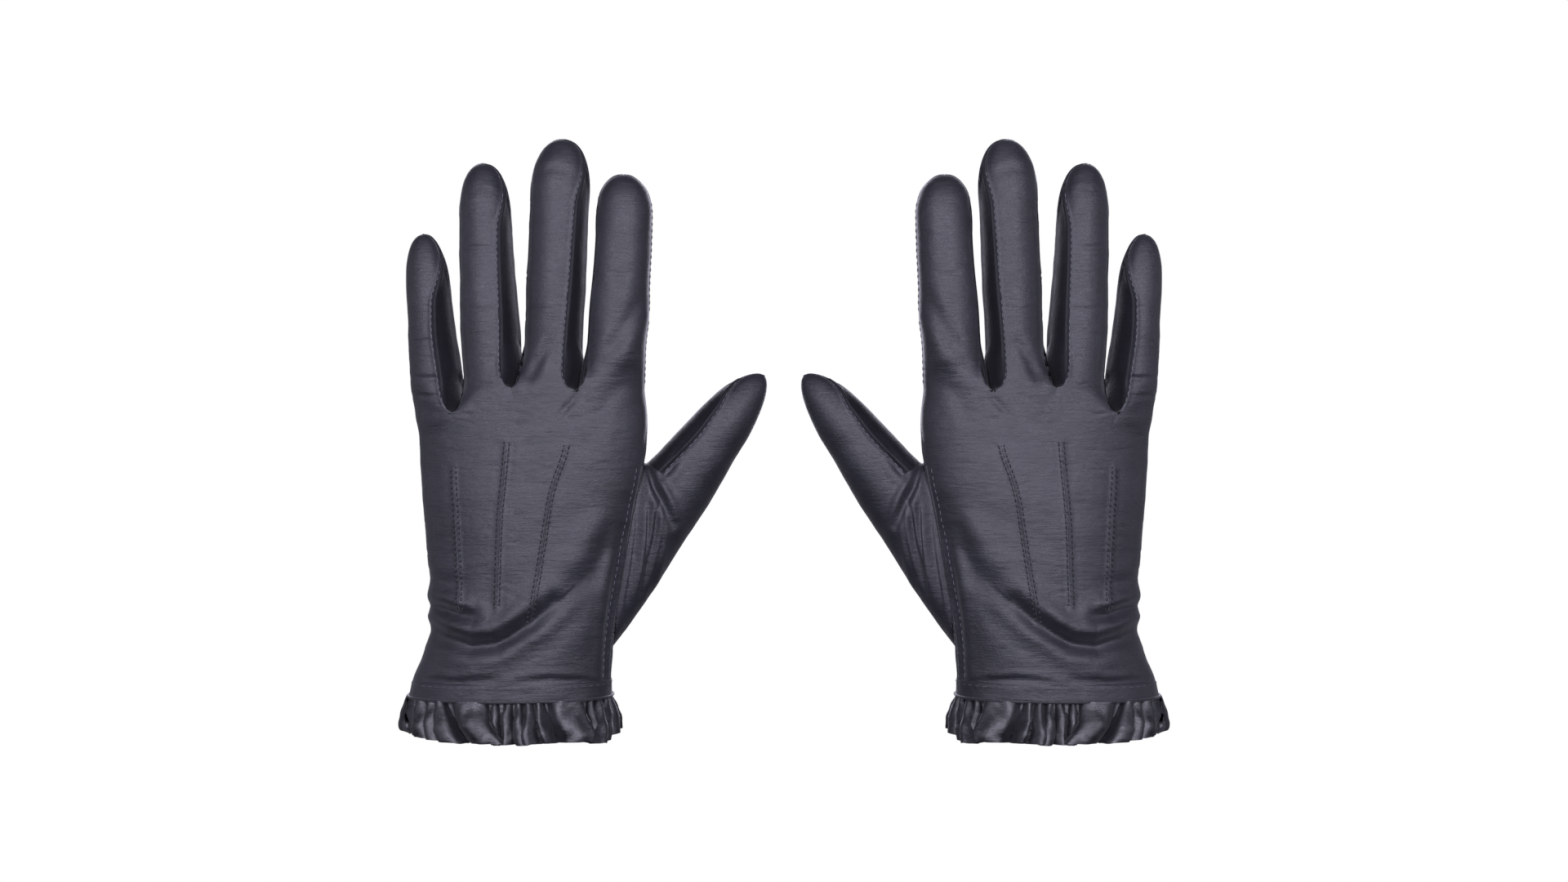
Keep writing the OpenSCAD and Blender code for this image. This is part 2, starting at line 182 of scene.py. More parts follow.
def oval(turn, z):
    """The hand's smooth oval: turn is 0 at the thumb edge, 90 on the palm, +-180 at the little finger."""
    middle, half = middle_and_half(z)
    c, s = cos_sin(turn)
    depth = np.where(s < 0, section(z, 3), section(z, 4))
    return middle + half * power(c, OVAL_POWER), depth * power(s, OVAL_POWER)


def seen(x, y, z):
    """Where the camera sees a point of the left glove, measured on the plane between back and palm."""
    shrink = EYE_DISTANCE / (EYE_DISTANCE + y)
    return OFFSET + (x - OFFSET) * shrink, EYE_Z + (z - EYE_Z) * shrink


def seam_turn(z):
    """Where the side seam runs: on the back below the thumb's crotch, just behind the edge above it."""
    return -9 + 17 * smooth((z - 98) / 25)


def root_turns():
    """The oval's turn at the little-finger edge, at each crotch and at the thumb edge, near the top."""
    low, high = HAND[-1, 1:3]
    across = ((ROOT_X + WEB_X)[1:4] - low - high) / (high - low)
    return np.array([180.0, *np.degrees(np.arccos(power(across, 1 / OVAL_POWER))), 0.0])


ROOT_TURNS = root_turns()


def hand_xy(across, z, face):
    """The hand's surface at a place across the roots (0 to 4) and a height."""
    k = np.minimum(np.floor(across), 3).astype(int)
    f = across - k
    last = seam_turn(z) * face
    end = np.where(k == 3, last, ROOT_TURNS[np.minimum(k + 1, 4)])
    turn = face * mix(ROOT_TURNS[k], end, f)
    return oval(turn, z)


def root_arc(k, f, face):
    """Base line of finger k on the back (face -1) or the palm (face +1), from little side to thumb side."""
    x_of = ROOT_X if face < 0 else WEB_X
    edge = CROTCH_FRONT if face < 0 else CROTCH_PALM
    depth = section(130.0, 3 if face < 0 else 4)
    left = 0 if k == 0 else math.degrees(math.asin(edge / depth))
    right = 180 - (seam_turn(ROOT_Z[4]) * face if k == 3 else math.degrees(math.asin(edge / depth)))
    turn = np.radians(mix(left, right, f))
    end = np.cos(math.radians(left)), np.cos(math.radians(right))
    across = (end[0] - np.cos(turn)) / (end[0] - end[1])
    x = mix(x_of[k], x_of[k + 1], across)
    z = mix(ROOT_Z[k], ROOT_Z[k + 1], smooth(f))
    _, y_hand = hand_xy(k + np.clip(f, 0, 1 if k == 3 else 0.9999), z, face)
    return x, mix(y_hand, face * depth * np.sin(turn), ROOT_OWN), z


# ---- creases
# Folds on the back: points as the camera sees them (x, z), depth, width, and how strongly the leather
# rises beside them
BACK_FOLDS = [
    ([(-32, 52.0), (-25.5, 50.5), (-19.5, 48.4), (-14, 47.5)], 1.7, 2.2, 0.8),
    ([(-30, 44), (-25, 40), (-15, 36.6), (-6, 37.6), (1.4, 41.6), (8.1, 46), (15.6, 52.5)], 2.1, 3.0, 0.7),
    ([(8, 47), (18, 54), (28, 63), (37, 75), (42, 88)], 0.75, 4.2, 0.8),
    ([(-31, 63), (-25, 60.5), (-17, 60.0)], 0.4, 2.6, 0.6),
    ([(43.5, 94), (36, 90.5), (25, 85), (13.7, 80.0)], 0.25, 4.0, 0.5),
    ([(41, 80), (37.8, 62), (35.4, 44), (34.0, 20)], 1.0, 1.5, 0.8),
    ([(36, 84), (33, 70), (29, 55)], 0.35, 3.0, 0.5),
    ([(30, 62), (22, 46), (12, 38), (-2, 31)], 0.4, 4.0, 0.5),
    ([(-33, 24.6), (-20, 23.4), (-6, 24.4)], 0.5, 1.4, 0.6),
    ([(2, 23.6), (14, 24.6), (32, 23.6)], 0.45, 1.2, 0.6),
    ([(48, 166), (41, 153), (33, 141)], 0.6, 2.8, 0.8),
    ([(42, 136), (35, 127), (31, 117)], 0.3, 3.2, 0.5),
    ([(5.5, 133), (9.5, 141), (14, 149)], 0.45, 1.8, 0.9),
    ([(24.5, 129), (20.5, 125.0), (17, 121)], 0.4, 1.2, 0.5),
    ([(-37, 135.4), (-30, 135.2), (-24, 136.0)], 0.32, 1.1, 0.6),
    ([(-37, 129.0), (-30, 128.6), (-24, 128.8)], 0.3, 0.9, 0.6),
    ([(-17, 133.6), (-9, 132.6), (-2, 133.2)], 0.3, 0.9, 0.6),
    ([(-19, 183.8), (-14, 183.3), (-8, 183.6)], 0.28, 0.7, 0.5),
    ([(-18, 161.2), (-11, 160.6), (-4, 161.0)], 0.25, 0.7, 0.5),
    ([(6, 161.2), (13, 160.7), (20, 161.3)], 0.28, 0.7, 0.5),
    ([(10, 211.5), (16, 212.6), (22, 211.0)], 0.3, 1.6, 0.5),
    ([(-16, 203.5), (-11, 204.6), (-6, 203.0)], 0.2, 1.6, 0.5),
]
ROOT_FOLDS = [
    ([(50.5, 101), (52.3, 96), (55.5, 90), (58.8, 81.5)], 1.2, 1.5, 0.9),
    ([(53.6, 87), (52.4, 77), (50.6, 68), (47.6, 56)], 1.3, 1.2, 0.8),
    ([(50.4, 89), (50.0, 78), (48.6, 66)], 0.8, 0.9, 0.8),
    ([(56.0, 84), (54.8, 75), (52.4, 65), (49.4, 54)], 0.7, 0.9, 0.7),
    ([(46.8, 96), (46.4, 82), (44.6, 68), (42, 54)], 0.7, 1.3, 0.6),
    ([(61.5, 108), (58, 102), (54, 98)], 0.6, 1.6, 0.5),
]
PALM_FOLDS = [
    ([(-34, 106), (-12, 101), (16, 106), (36, 114)], 0.6, 2.2, 0.4),
    ([(24, 116), (14, 98), (14, 76), (20, 52)], 0.8, 2.6, 0.4),
    ([(-33, 52), (-10, 47), (18, 50), (37, 56)], 1.3, 2.6, 0.6),
    ([(-32, 42), (-8, 36.5), (20, 39), (35, 44)], 1.2, 2.6, 0.6),
    ([(-30, 82), (-16, 78), (-4, 80)], 0.4, 2.0, 0.4),
    ([(-34, 30), (-6, 27), (30, 29)], 0.5, 2.4, 0.4),
]


def fine_creases(seed, count, low, high, depth, lean):
    """Short shallow lines scattered over an area, mostly level, as (points, depth, width, rise)."""
    draw = np.random.default_rng(seed)
    lines = []
    for _ in range(count):
        x, z = draw.uniform(low[0], high[0]), draw.uniform(low[1], high[1])
        length, slope = draw.uniform(3, 10), draw.normal(0, lean)
        bow = draw.normal(0, 0.35)
        half, rise = length / 2, slope * length / 2
        points = [(x - half, z - rise), (x, z + bow), (x + half, z + rise)]
        lines.append((points, depth * draw.uniform(0.5, 1.3), draw.uniform(0.35, 0.8), 0.5))
    return lines


BACK_FOLDS += fine_creases(11, 150, (-34, 22), (46, 132), 0.10, 0.10)
BACK_FOLDS += fine_creases(12, 130, (-38, 132), (50, 215), 0.11, 0.07)
PALM_FOLDS += fine_creases(13, 90, (-34, 22), (46, 200), 0.12, 0.15)


def fold_depth(x, z, folds):
    """Total displacement that the folds give at each point: negative in a valley, positive beside it."""
    total = np.zeros_like(x)
    for points, depth, width, rise in folds:
        pts = np.array(points, float)
        reach = 5 * width
        low, high = pts.min(axis=0) - reach, pts.max(axis=0) + reach
        near = (x > low[0]) & (x < high[0]) & (z > low[1]) & (z < high[1])
        if not near.any():
            continue
        start = run_along(pts)
        ahead = np.diff(pts, axis=0) / np.diff(start)[:, None]
        away = np.stack([x[near], z[near]], axis=-1)[:, None] - pts[:-1]
        t = np.clip((away * ahead).sum(axis=-1), 0, np.diff(start))
        away -= t[..., None] * ahead
        nearest = np.argmin(np.hypot(*away.T), axis=0)
        pick = np.arange(len(t)), nearest
        along = (start[nearest] + t[pick]) / start[-1]
        (ax, az), (dx, dz) = away[pick].T, ahead[nearest].T
        distance, side = np.hypot(ax, az), np.sign(dx * az - dz * ax)
        fade = np.sin(np.pi * np.clip(0.06 + 0.88 * along, 0, 1)) ** 0.7
        valley = -np.exp(-(distance / width) ** 2)
        shoulder = rise * np.exp(-((distance - 1.9 * width) / (1.3 * width)) ** 2) * (0.75 + 0.25 * side)
        total[near] += depth * fade * (valley + shoulder)
    return total


WAVES = 14  # sines in a sum of slow waves


def rolling(x, y, z, seed, scale, height):
    """Slow uneven waves: a seeded sum of sines in random directions."""
    draw = np.random.default_rng(seed)
    total = np.zeros_like(x)
    for _ in range(WAVES):
        direction = draw.normal(size=3)
        direction *= 2 * np.pi / (scale * draw.uniform(0.7, 1.5)) / np.linalg.norm(direction)
        total += np.sin(direction[0] * x + direction[1] * y + direction[2] * z + draw.uniform(0, 2 * np.pi))
    return height * total / math.sqrt(WAVES)


# ---- mesh building
def normals_of(grid, outward, wrap=False):
    """Unit normals of a grid of points, on the side that the outward vectors point to."""
    if wrap:
        grid, outward = (np.concatenate([g[:, -1:], g, g[:, :1]], axis=1) for g in (grid, outward))
    n = np.cross(np.gradient(grid, axis=1), np.gradient(grid, axis=0))
    n = np.where(np.linalg.norm(n, axis=2, keepdims=True) > 1e-7, unit(n), unit(outward))
    n *= np.where((n * outward).sum(axis=2, keepdims=True) < 0, -1.0, 1.0)
    return n[:, 1:-1] if wrap else n


class Piece:
    """One mesh made of closed sheets, tubes and stitches, in millimetres of the left glove."""

    def __init__(self):
        self.points, self.normals, self.faces = np.empty((0, 3)), np.empty((0, 3)), []

    def add(self, points, normals, faces):
        count = len(self.points)
        self.faces += [tuple(i + count for i in face) for face in faces]
        self.points = np.concatenate([self.points, points.reshape(-1, 3)])
        self.normals = np.concatenate([self.normals, normals.reshape(-1, 3)])
        return self

    def sheet(self, grid, normals, thickness=LEATHER, wrap=False, keep=None):
        """A closed sheet whose outer face is the grid. keep is a mask of the grid's cells."""
        rows, cols = grid.shape[:2]
        cells = cols if wrap else cols - 1
        present = np.ones((rows - 1, cells), bool) if keep is None else keep
        facing = np.cross(grid[:-1, 1:] - grid[:-1, :-1], grid[1:, :-1] - grid[:-1, :-1])
        flip = (facing * normals[:-1, :-1]).sum() < 0
        size = rows * cols
        faces = []

        def at(i, j):
            return i * cols + j % cols

        def put(*corners):
            faces.append(corners[::-1] if flip else corners)

        def has(i, j):
            j = j % cells if wrap else j
            return 0 <= i < rows - 1 and 0 <= j < cells and present[i, j]

        for i, j in zip(*np.nonzero(present)):
            p, q, r, s = at(i, j), at(i, j + 1), at(i + 1, j + 1), at(i + 1, j)
            put(p, q, r, s)
            put(s + size, r + size, q + size, p + size)
            for open_edge, a, b in ((not has(i - 1, j), q, p), (not has(i + 1, j), s, r),
                                    (not has(i, j - 1), p, s), (not has(i, j + 1), r, q)):
                if open_edge:
                    put(a, b, b + size, a + size)
        both = np.concatenate([grid, grid - normals * thickness])
        return self.add(both, np.concatenate([normals, -normals]), faces)

    def tube(self, path, radius, sides=8, squash=1.0, out=(0.0, -1.0, 0.0)):
        """A closed tube along a path. radius may be one number for each point, and out is its top side."""
        path = np.asarray(path, float)
        n = len(path)
        along = unit(np.gradient(path, axis=0))
        side = unit(np.cross(along, np.broadcast_to(out, (n, 3))))
        top = np.cross(side, along)
        angle = 2 * np.pi * np.arange(sides) / sides
        ring = side[:, None] * np.cos(angle)[:, None] + squash * top[:, None] * np.sin(angle)[:, None]
        points = path[:, None] + ring * np.broadcast_to(radius, (n,))[:, None, None]
        corners = ((0, 0), (1, 0), (1, 1), (0, 1))
        faces = [tuple((i + up) * sides + (j + on) % sides for up, on in corners)
                 for i in range(n - 1) for j in range(sides)]
        faces += [tuple(range(sides)), tuple((n - 1) * sides + j for j in range(sides))[::-1]]
        return self.add(points, unit(ring), faces)

    def stitches(self, line, out, pitch, length=0.6, radius=0.22, lift=0.12):
        """A row of thread stitches along a line that lies on the leather, each a capsule that dives in."""
        line, out = np.asarray(line, float), out[:len(line)]
        run = run_along(line)
        t = np.array([0.0, 0.2, 0.5, 0.8, 1.0])
        for start in np.arange(0.3 * pitch, run[-1] - pitch * length, pitch):
            places = start + t * pitch * length
            path = np.stack([np.interp(places, run, line[:, i]) for i in range(3)], axis=1)
            facing = np.array([np.interp(places[2], run, out[:, i]) for i in range(3)])
            path += facing * (lift * (2.2 * np.sin(np.pi * t) - 1))[:, None]
            self.tube(path, radius * np.array([0.5, 0.95, 1, 0.95, 0.5]), sides=6, out=facing)
        return self

    def make(self, name, side, material, slot):
        """The Blender object, in metres in the row's frame, mirrored for the right-hand glove."""
        mirror = np.array([1 if side == "left" else -1, 1, 1])
        points = (self.points - [OFFSET, 0, FOOT]) * mirror / 1000
        faces = self.faces if side == "left" else [face[::-1] for face in self.faces]
        mesh = bpy.data.meshes.new(f"{side}_{name}_skin")
        mesh.from_pydata(points.tolist(), [], faces)
        mesh.shade_smooth()
        mesh.normals_split_custom_set_from_vertices((self.normals * mirror).tolist())
        mesh.materials.append(material)
        piece = bpy.data.objects.new(mesh.name, mesh)
        bpy.context.scene.collection.objects.link(piece)
        return piece


def crowded(count, crowd=0.09):
    """Places from 0 to 1 that crowd towards both ends."""
    u = np.linspace(0, 1, count)
    return u - crowd * np.sin(2 * np.pi * u)


def sewn_lip(grid, at_start=1.0, at_end=1.0):
    """A raised lip and a groove along a strip's two sewn sides, each scaled by a factor for every row."""
    run = run_along(grid)

    def lip(distance):
        return 0.3 * np.exp(-((distance - 1.0) / 0.5) ** 2) - 0.45 * np.exp(-(distance / 0.4) ** 2)

    return np.asarray(at_start) * lip(run) + np.asarray(at_end) * lip(run[:, -1:] - run)


def leather_relief(grid, out, seed=5):
    """How far the folds, fine creases and slow waves move each point of the leather along out."""
    x, y, z = np.moveaxis(grid, -1, 0)
    front, back = smooth((0.25 - out[..., 1]) / 0.6), smooth((out[..., 1] + 0.1) / 0.6)
    return (front * fold_depth(*seen(x, y, z), BACK_FOLDS) + back * fold_depth(x, z, PALM_FOLDS)
            + rolling(x, y, z, seed, 17, 0.10) + rolling(x, y, z, seed + 1, 6, 0.035))


# ---- hand and fingers
STRIP_STEPS = 34  # columns across one finger's back or palm strip
GUSSET_STEPS = 14
FLAT_GUSSET, FLAT_THUMB_GUSSET = 0.5, 0.12  # how far a gusset lies from its arc towards the straight chord
GUSSET_TAPER = 0.93  # the share of its width that a gusset loses towards the tip
WEB_PACE = 1.5  # how soon a crotch's line moves over to the web on its way to the palm
WEB_GAP, LEAST_GAP = 0.25, 0.15  # half the gap between neighbours at the web, and the least anywhere
HAND_ROWS = 130
FINGER_SPLIT_ROW, THUMB_SPLIT_ROW = 33, 17  # the rows where a digit's upper part starts
SCALLOP_HEIGHT = 9.0  # height over which the hand takes the finger roots' scallops
MIDDLE_Z = {"little": 152.8, "ring": 168.1, "middle": 173.5, "index": 167.6}
LEAN = {"little": (-26.5, 123.0, -5.5), "ring": (-6.5, 129.0, -3.0), "middle": (14.7, 131.5, 2.5),
        "index": (37.1, 131.5, 3.9)}
BEND_HALF = 10.0  # half the length over which a finger bends at its middle joint


def along_table(table, value):
    return softened(value, *zip(*table), 2.5)


def cap_share(t, roundness):
    """The share of a digit's width that is left at a share t of the height of its tip."""
    return np.clip(1 - np.clip(t, 0, 1) ** roundness, 0.0005, 1) ** (1 / roundness)


def middle_and_width(name, z):
    """A finger's centre line and half width at a height, before its tip rounds off."""
    f = FINGERS[name]
    x0, z0, lean = LEAN[name]
    tip = np.clip((z - f["top"] + f["tip"]) / f["tip"], 0, 1)
    x_mid = x0 + (z - z0) * math.tan(math.radians(lean)) + f["shift"] * smooth((z - f["top"] + 40) / 40)
    return x_mid + f["skew"] * tip ** 2, along_table(f["widths"], z - z0)


def ring_at(name, turn, z):
    """A point of a finger's ring at a turn and a height, and the direction outwards."""
    f = FINGERS[name]
    t = (z - f["top"] + f["tip"]) / f["tip"]
    cap = cap_share(t, 2.2)
    x_mid, wide = middle_and_width(name, z)
    deep = along_table(f["depths"], z - LEAN[name][1])
    c, s = cos_sin(turn)
    point = spread(x_mid + wide * cap * power(c, OVAL_POWER), deep * cap * power(s, OVAL_POWER), z)
    rise = smooth(t) ** 2
    return point, unit(spread(c * (1 - rise), s * (1 - rise) * wide / deep, rise))


def seam_turns(name, side, z):
    """The turns of a gusset's two edges, on the back and on the palm, for either side of the finger."""
    f = FINGERS[name]
    tip = smooth((z - f["top"] + 26) / 22)
    half = f["gusset"] * (1 - GUSSET_TAPER * tip)
    if side == "thumb":
        back = along_table(f["seam"], z - LEAN[name][1])
        return -mix(back, f["twist"] + 2, tip), half - f["twist"]
    return 180 + half - f["twist"], 180 - half - f["twist"]


def base_point(k, f, face):
    """A point of finger k's base line, and the direction outwards."""
    x, y, z = root_arc(k, f, face)
    middle, half = (ROOT_X[k] + ROOT_X[k + 1]) / 2, (ROOT_X[k + 1] - ROOT_X[k]) / 2
    return spread(x, y, z), unit(spread((x - middle) / half, y / ROOT_DEPTH, 0))


def finger_heights(name, low):
    """Heights of a finger's rows above its base line at height low."""
    f = FINGERS[name]
    split, dome = MIDDLE_Z[name] - BEND_HALF, f["top"] - f["tip"]
    lower = [mix(low, split, t) for t in np.linspace(0, 1, FINGER_SPLIT_ROW + 1)]
    upper = [split + 0 * low + (dome - split) * t for t in np.linspace(0, 1, 46)[1:]]
    tip = [dome + 0 * low + f["tip"] * math.sin(math.radians(90 * t)) for t in np.linspace(0, 1, 20)[1:]]
    return np.array(lower + upper + tip)


def quick_start(height):
    """How far a crotch's rounded bottom has opened at a height above the crotch."""
    t = np.clip(height / ROUND_HEIGHT, 0, 1)
    return np.sqrt(2 * t - t * t)


def kept_apart(k, grid):
    """Finger k's grid, held on its own side of the surface halfway to each neighbour."""
    x, y, z = np.moveaxis(grid, -1, 0)
    for crotch, side in ((k, 1), (k + 1, -1)):
        if crotch in (0, 4):
            continue
        (left, left_half), (right, right_half) = (
            middle_and_width(FINGER_NAMES[i], z) for i in (crotch - 1, crotch))
        depth = (y + CROTCH_FRONT) / (CROTCH_FRONT + CROTCH_PALM)
        low = mix(ROOT_X[crotch], WEB_X[crotch], smooth(WEB_PACE * depth))
        up = z - ROOT_Z[crotch]
        limit = mix(low, (left + left_half + right - right_half) / 2, quick_start(up)) + side * LEAST_GAP
        x = mix(x, np.maximum(x, limit) if side > 0 else np.minimum(x, limit), smooth(up / 2))
    return spread(x, y, z)


def join(grid, base, start, own_x, own):
    """Moves a grid that starts at start onto base, sideways and in depth each at its own pace."""
    shift = base - start
    return grid + spread((1 - own_x) * shift[:, 0], (1 - own) * shift[:, 1], 0)


def finger_face(k, face):
    """The back or palm strip of finger k as a grid, with its outward directions."""
    name = FINGER_NAMES[k]
    f = crowded(STRIP_STEPS)
    base, base_out = base_point(k, f, face)
    z = finger_heights(name, base[:, 2])
    at_thumb = seam_turns(name, "thumb", z)[0 if face < 0 else 1] if k < 3 else 8.0 + 0 * z
    at_little = seam_turns(name, "little", z)[0 if face < 0 else 1] if k > 0 else 180.0 + 0 * z
    at_thumb = at_thumb + 360 if face < 0 else at_thumb
    turn = mix(at_little, at_thumb, f)
    grid, out = ring_at(name, turn, z)
    start, _ = ring_at(name, turn[0], z[0])
    own = smooth((z - z[0]) / ROOT_HEIGHT)
    near_crotch = (np.abs(2 * f - 1) ** 1.5) * np.where(f < 0.5, k > 0, k < 3)
    grid = join(grid, base, start, mix(own, quick_start(z - z[0]), near_crotch), own)
    return grid, unit(mix(base_out, out, own[..., None]))


def gusset_face(k, side):
    """One of finger k's gussets as a grid, from its seam on the back to its seam on the palm."""
    name = FINGER_NAMES[k]
    g = crowded(GUSSET_STEPS)
    crotch = k + 1 if side == "thumb" else k
    x, z_low, web = ROOT_X[crotch], ROOT_Z[crotch], WEB_X[crotch]
    front_y, palm_y = (root_arc(crotch - 1, 1.0, face)[1] for face in (-1, 1))
    base = spread(mix(x, web, smooth(WEB_PACE * g)), mix(front_y, palm_y, g), z_low - 1.2 * np.sin(np.pi * g))
    z = finger_heights(name, base[:, 2])
    front, palm = seam_turns(name, side, z)
    turn = mix(front, palm, g)
    grid, out = ring_at(name, turn, z)
    chord = mix(grid[:, :1], grid[:, -1:], g[:, None])
    grid = mix(grid, chord, FLAT_GUSSET)
    grid[..., 2] = z
    inner = np.sin(np.pi * g) ** 0.7
    own = smooth((z - z[0] - WEB_RISE[crotch - 1] * inner) / ROOT_HEIGHT)
    sign = 1 if side == "thumb" else -1
    base[:, 0] -= WEB_GAP * sign * inner
    base_out = unit(spread(sign, g - 0.5, 0))
    own_x = mix(quick_start(z - z[0]), own, inner)
    return join(grid, base, grid[0], own_x, own), unit(mix(base_out, out, own[..., None]))


def hand_face(face):
    """The hand's back or palm as a grid that ends in the four base lines, with its outward directions."""
    f = crowded(STRIP_STEPS)
    across = np.concatenate([[0.0]] + [k + f[1:] for k in range(4)])
    k = np.minimum(np.ceil(across) - 1, 3).clip(0).astype(int)
    tops, top_out = map(np.stack, zip(*(base_point(i, c - i, face) for i, c in zip(k, across))))
    t = np.linspace(0, 1, HAND_ROWS)[:, None]
    z = mix(HEM_Z, tops[:, 2], t)
    x, y = hand_xy(across + 0 * z, z, face)
    x_top, y_top = hand_xy(across, tops[:, 2], face)
    own = smooth((z - tops[:, 2] + SCALLOP_HEIGHT) / SCALLOP_HEIGHT)[..., None]
    grid = spread(x, y, z) + own * (tops - spread(x_top, y_top, tops[:, 2]))
    (middle, half), deep = middle_and_half(z), section(z, 3 if face < 0 else 4)
    out = unit(spread((x - middle) / half ** 2, y / deep ** 2, 0))
    return grid, unit(mix(out, top_out, own))


# ---- thumb
THUMB_BASE = np.array([60.8, 8.0, 96.5])
THUMB_LEAN, THUMB_LENGTH = 34.4, 51.0
THUMB_UP, THUMB_ASIDE = cos_sin(THUMB_LEAN)
THUMB_ALONG, THUMB_ACROSS = np.array([THUMB_ASIDE, 0, THUMB_UP]), np.array([THUMB_UP, 0, -THUMB_ASIDE])
THUMB_SPLIT, THUMB_MIDDLE, THUMB_BEND_HALF = 12.4, 19.44, 7.0
HOLE_TURN, HOLE_Z = (22.5, 31.5), (70.3, 34.2)  # middle and half size of the thumb hole on the hand
HOLE_POWER = 0.55
ROOT_BULGE = 0.12  # how much the thumb's root leaves the hand squarely


def thumb_ring(turn, s):
    """A point of the thumb's ring at a turn and a distance from its base, and the direction outwards."""
    t = (s - THUMB_LENGTH + THUMB["tip"]) / THUMB["tip"]
    cap = cap_share(t, 1.8)
    wide, deep = along_table(THUMB["widths"], s) * cap, along_table(THUMB["depths"], s) * cap
    c, n = cos_sin(turn)
    aside = (0.3 + 3.0 * (s / THUMB_LENGTH) ** 2) * smooth(s / 12)
    point = (THUMB_BASE + (aside + wide * power(c, OVAL_POWER))[..., None] * THUMB_ACROSS
             + spread(0, deep * power(n, OVAL_POWER), 0) + (s + 0 * c)[..., None] * THUMB_ALONG)
    rise = (smooth(t) ** 3 + 0 * c)[..., None]
    out = c[..., None] * THUMB_ACROSS + n[..., None] * np.array([0, 1.2, 0])
    return point, unit(out * (1 - rise) + THUMB_ALONG * rise)


def thumb_rows():
    """The distances of the thumb's rows from its base."""
    lower = np.linspace(0, THUMB_SPLIT, THUMB_SPLIT_ROW + 1)
    upper = np.linspace(THUMB_SPLIT, THUMB_LENGTH - THUMB["tip"], 26)[1:]
    tip = THUMB_LENGTH - THUMB["tip"] + THUMB["tip"] * np.sin(np.radians(np.linspace(0, 90, 20)[1:]))
    return np.concatenate([lower, upper, tip])[:, None]


def thumb_strip(kind, columns):
    """The thumb's leather or its gusset as a grid, with its outward directions."""
    s = thumb_rows()
    tip = smooth((s - THUMB_LENGTH + 20) / 18)
    front = 180 + mix(along_table(THUMB["seam"], s), 2 - THUMB["twist"], tip)
    palm = 180 - THUMB["gusset"] * (1 - GUSSET_TAPER * tip) - THUMB["twist"]
    if kind == "leather":
        turn = mix(front, palm + 360, crowded(columns, 0.12))
        return thumb_ring(turn, s + 0 * turn)
    f = crowded(columns)
    turn = mix(front, palm, f)
    grid, out = thumb_ring(turn, s + 0 * turn)
    return mix(grid, mix(grid[:, :1], grid[:, -1:], f[:, None]), FLAT_THUMB_GUSSET), out


def thumb_root_grid(columns=84, rows=46):
    """The leather from the hole in the palm panel to the thumb's base, as a grid that closes sideways."""
    walk = np.radians(np.arange(columns) * 360 / columns)
    turn = HOLE_TURN[0] + HOLE_TURN[1] * power(np.cos(walk), HOLE_POWER)
    z = HOLE_Z[0] + HOLE_Z[1] * power(np.sin(walk), HOLE_POWER)
    x, y = oval(turn, z)
    start, normal = spread(x, y, z), oval_out(turn, 2.2)
    end, end_out = thumb_ring(np.degrees(walk) + 90, np.zeros(columns))
    reach = np.linalg.norm(end - start, axis=1, keepdims=True)
    leave = reach * (unit(end - start) + ROOT_BULGE * normal)
    arrive = reach * THUMB_ALONG
    t = np.linspace(0, 1, rows)[:, None, None]
    grid = ((2 * t ** 3 - 3 * t ** 2 + 1) * start + (t ** 3 - 2 * t ** 2 + t) * leave
            + (3 * t ** 2 - 2 * t ** 3) * end + (t ** 3 - t ** 2) * arrive)
    return grid, unit(mix(normal + 0 * grid, end_out, t))


# ---- trims on the back
POINTS = [
    [(-18.4, 48.5), (-19.2, 54), (-20.3, 80), (-21.6, 103)],
    [(-5.6, 50), (-5.4, 56), (-4.6, 83), (-1.7, 112.5)],
    [(5.9, 44.5), (8.1, 53), (11.9, 77), (14.4, 94), (21, 111)],
]
SEAM_TURN = -9.0


def back_at(x, z):
    """The smooth back of the hand at x and z, and the direction outwards."""
    (middle, half), depth = middle_and_half(z), section(z, 3)
    c = np.clip((x - middle) / half, -1, 1)
    y = -depth * (1 - np.abs(c) ** (2 / OVAL_POWER)) ** (OVAL_POWER / 2)
    return spread(x, y, z), unit(spread(c / half, y / depth ** 2, 0))


def behind(seen_x, seen_z):
    """The x and z on the smooth back of the hand that the camera sees at a place."""
    x, z = seen_x, seen_z
    for _ in range(4):
        grow = (EYE_DISTANCE + back_at(x, z)[0][..., 1]) / EYE_DISTANCE
        x, z = OFFSET + (seen_x - OFFSET) * grow, EYE_Z + (seen_z - EYE_Z) * grow
    return x, z


def line_at(points, spacing=0.5):
    """A smooth line on the back of the hand through a few places that the camera sees."""
    x, z = behind(*np.array(points, float).T)
    heights = np.arange(z[0], z[-1], spacing)
    return softened(heights, z, x, 3), heights


def hand_relief(grid, out):
    """The leather's relief on the hand, with the leather drawn in beside the raised points."""
    total = leather_relief(grid, out)
    x, z = grid[..., 0], grid[..., 2]
    for points in POINTS:
        line_x, line_z = line_at(points)
        distance = np.abs(x - np.interp(z, line_z, line_x))
        inside = smooth((z - line_z[0] + 2) / 3) * smooth((line_z[-1] - z + 2) / 3)
        bump = 0.24 * np.exp(-(distance / 1.2) ** 2) - 0.05 * np.exp(-((distance - 2.2) / 0.9) ** 2)
        total += inside * smooth(0.5 - 2 * out[..., 1]) * bump
    return total


def on_leather(point, out, lift=0.0):
    return point + out * (hand_relief(point, out) + lift)[..., None]


pieces = {}


def keep(name, piece, finish, motion, stands_in=True):
    """Notes a piece, its finish, the part it moves with, and whether it replaces the node of its own name."""
    pieces[name] = (piece, finish, motion, stands_in)


def halves(digit):
    """The rows of a digit's parts below and above its upper bend."""
    split = THUMB_SPLIT_ROW if digit == "thumb" else FINGER_SPLIT_ROW
    return ("lower", slice(0, split + 1)), ("upper", slice(split, None))


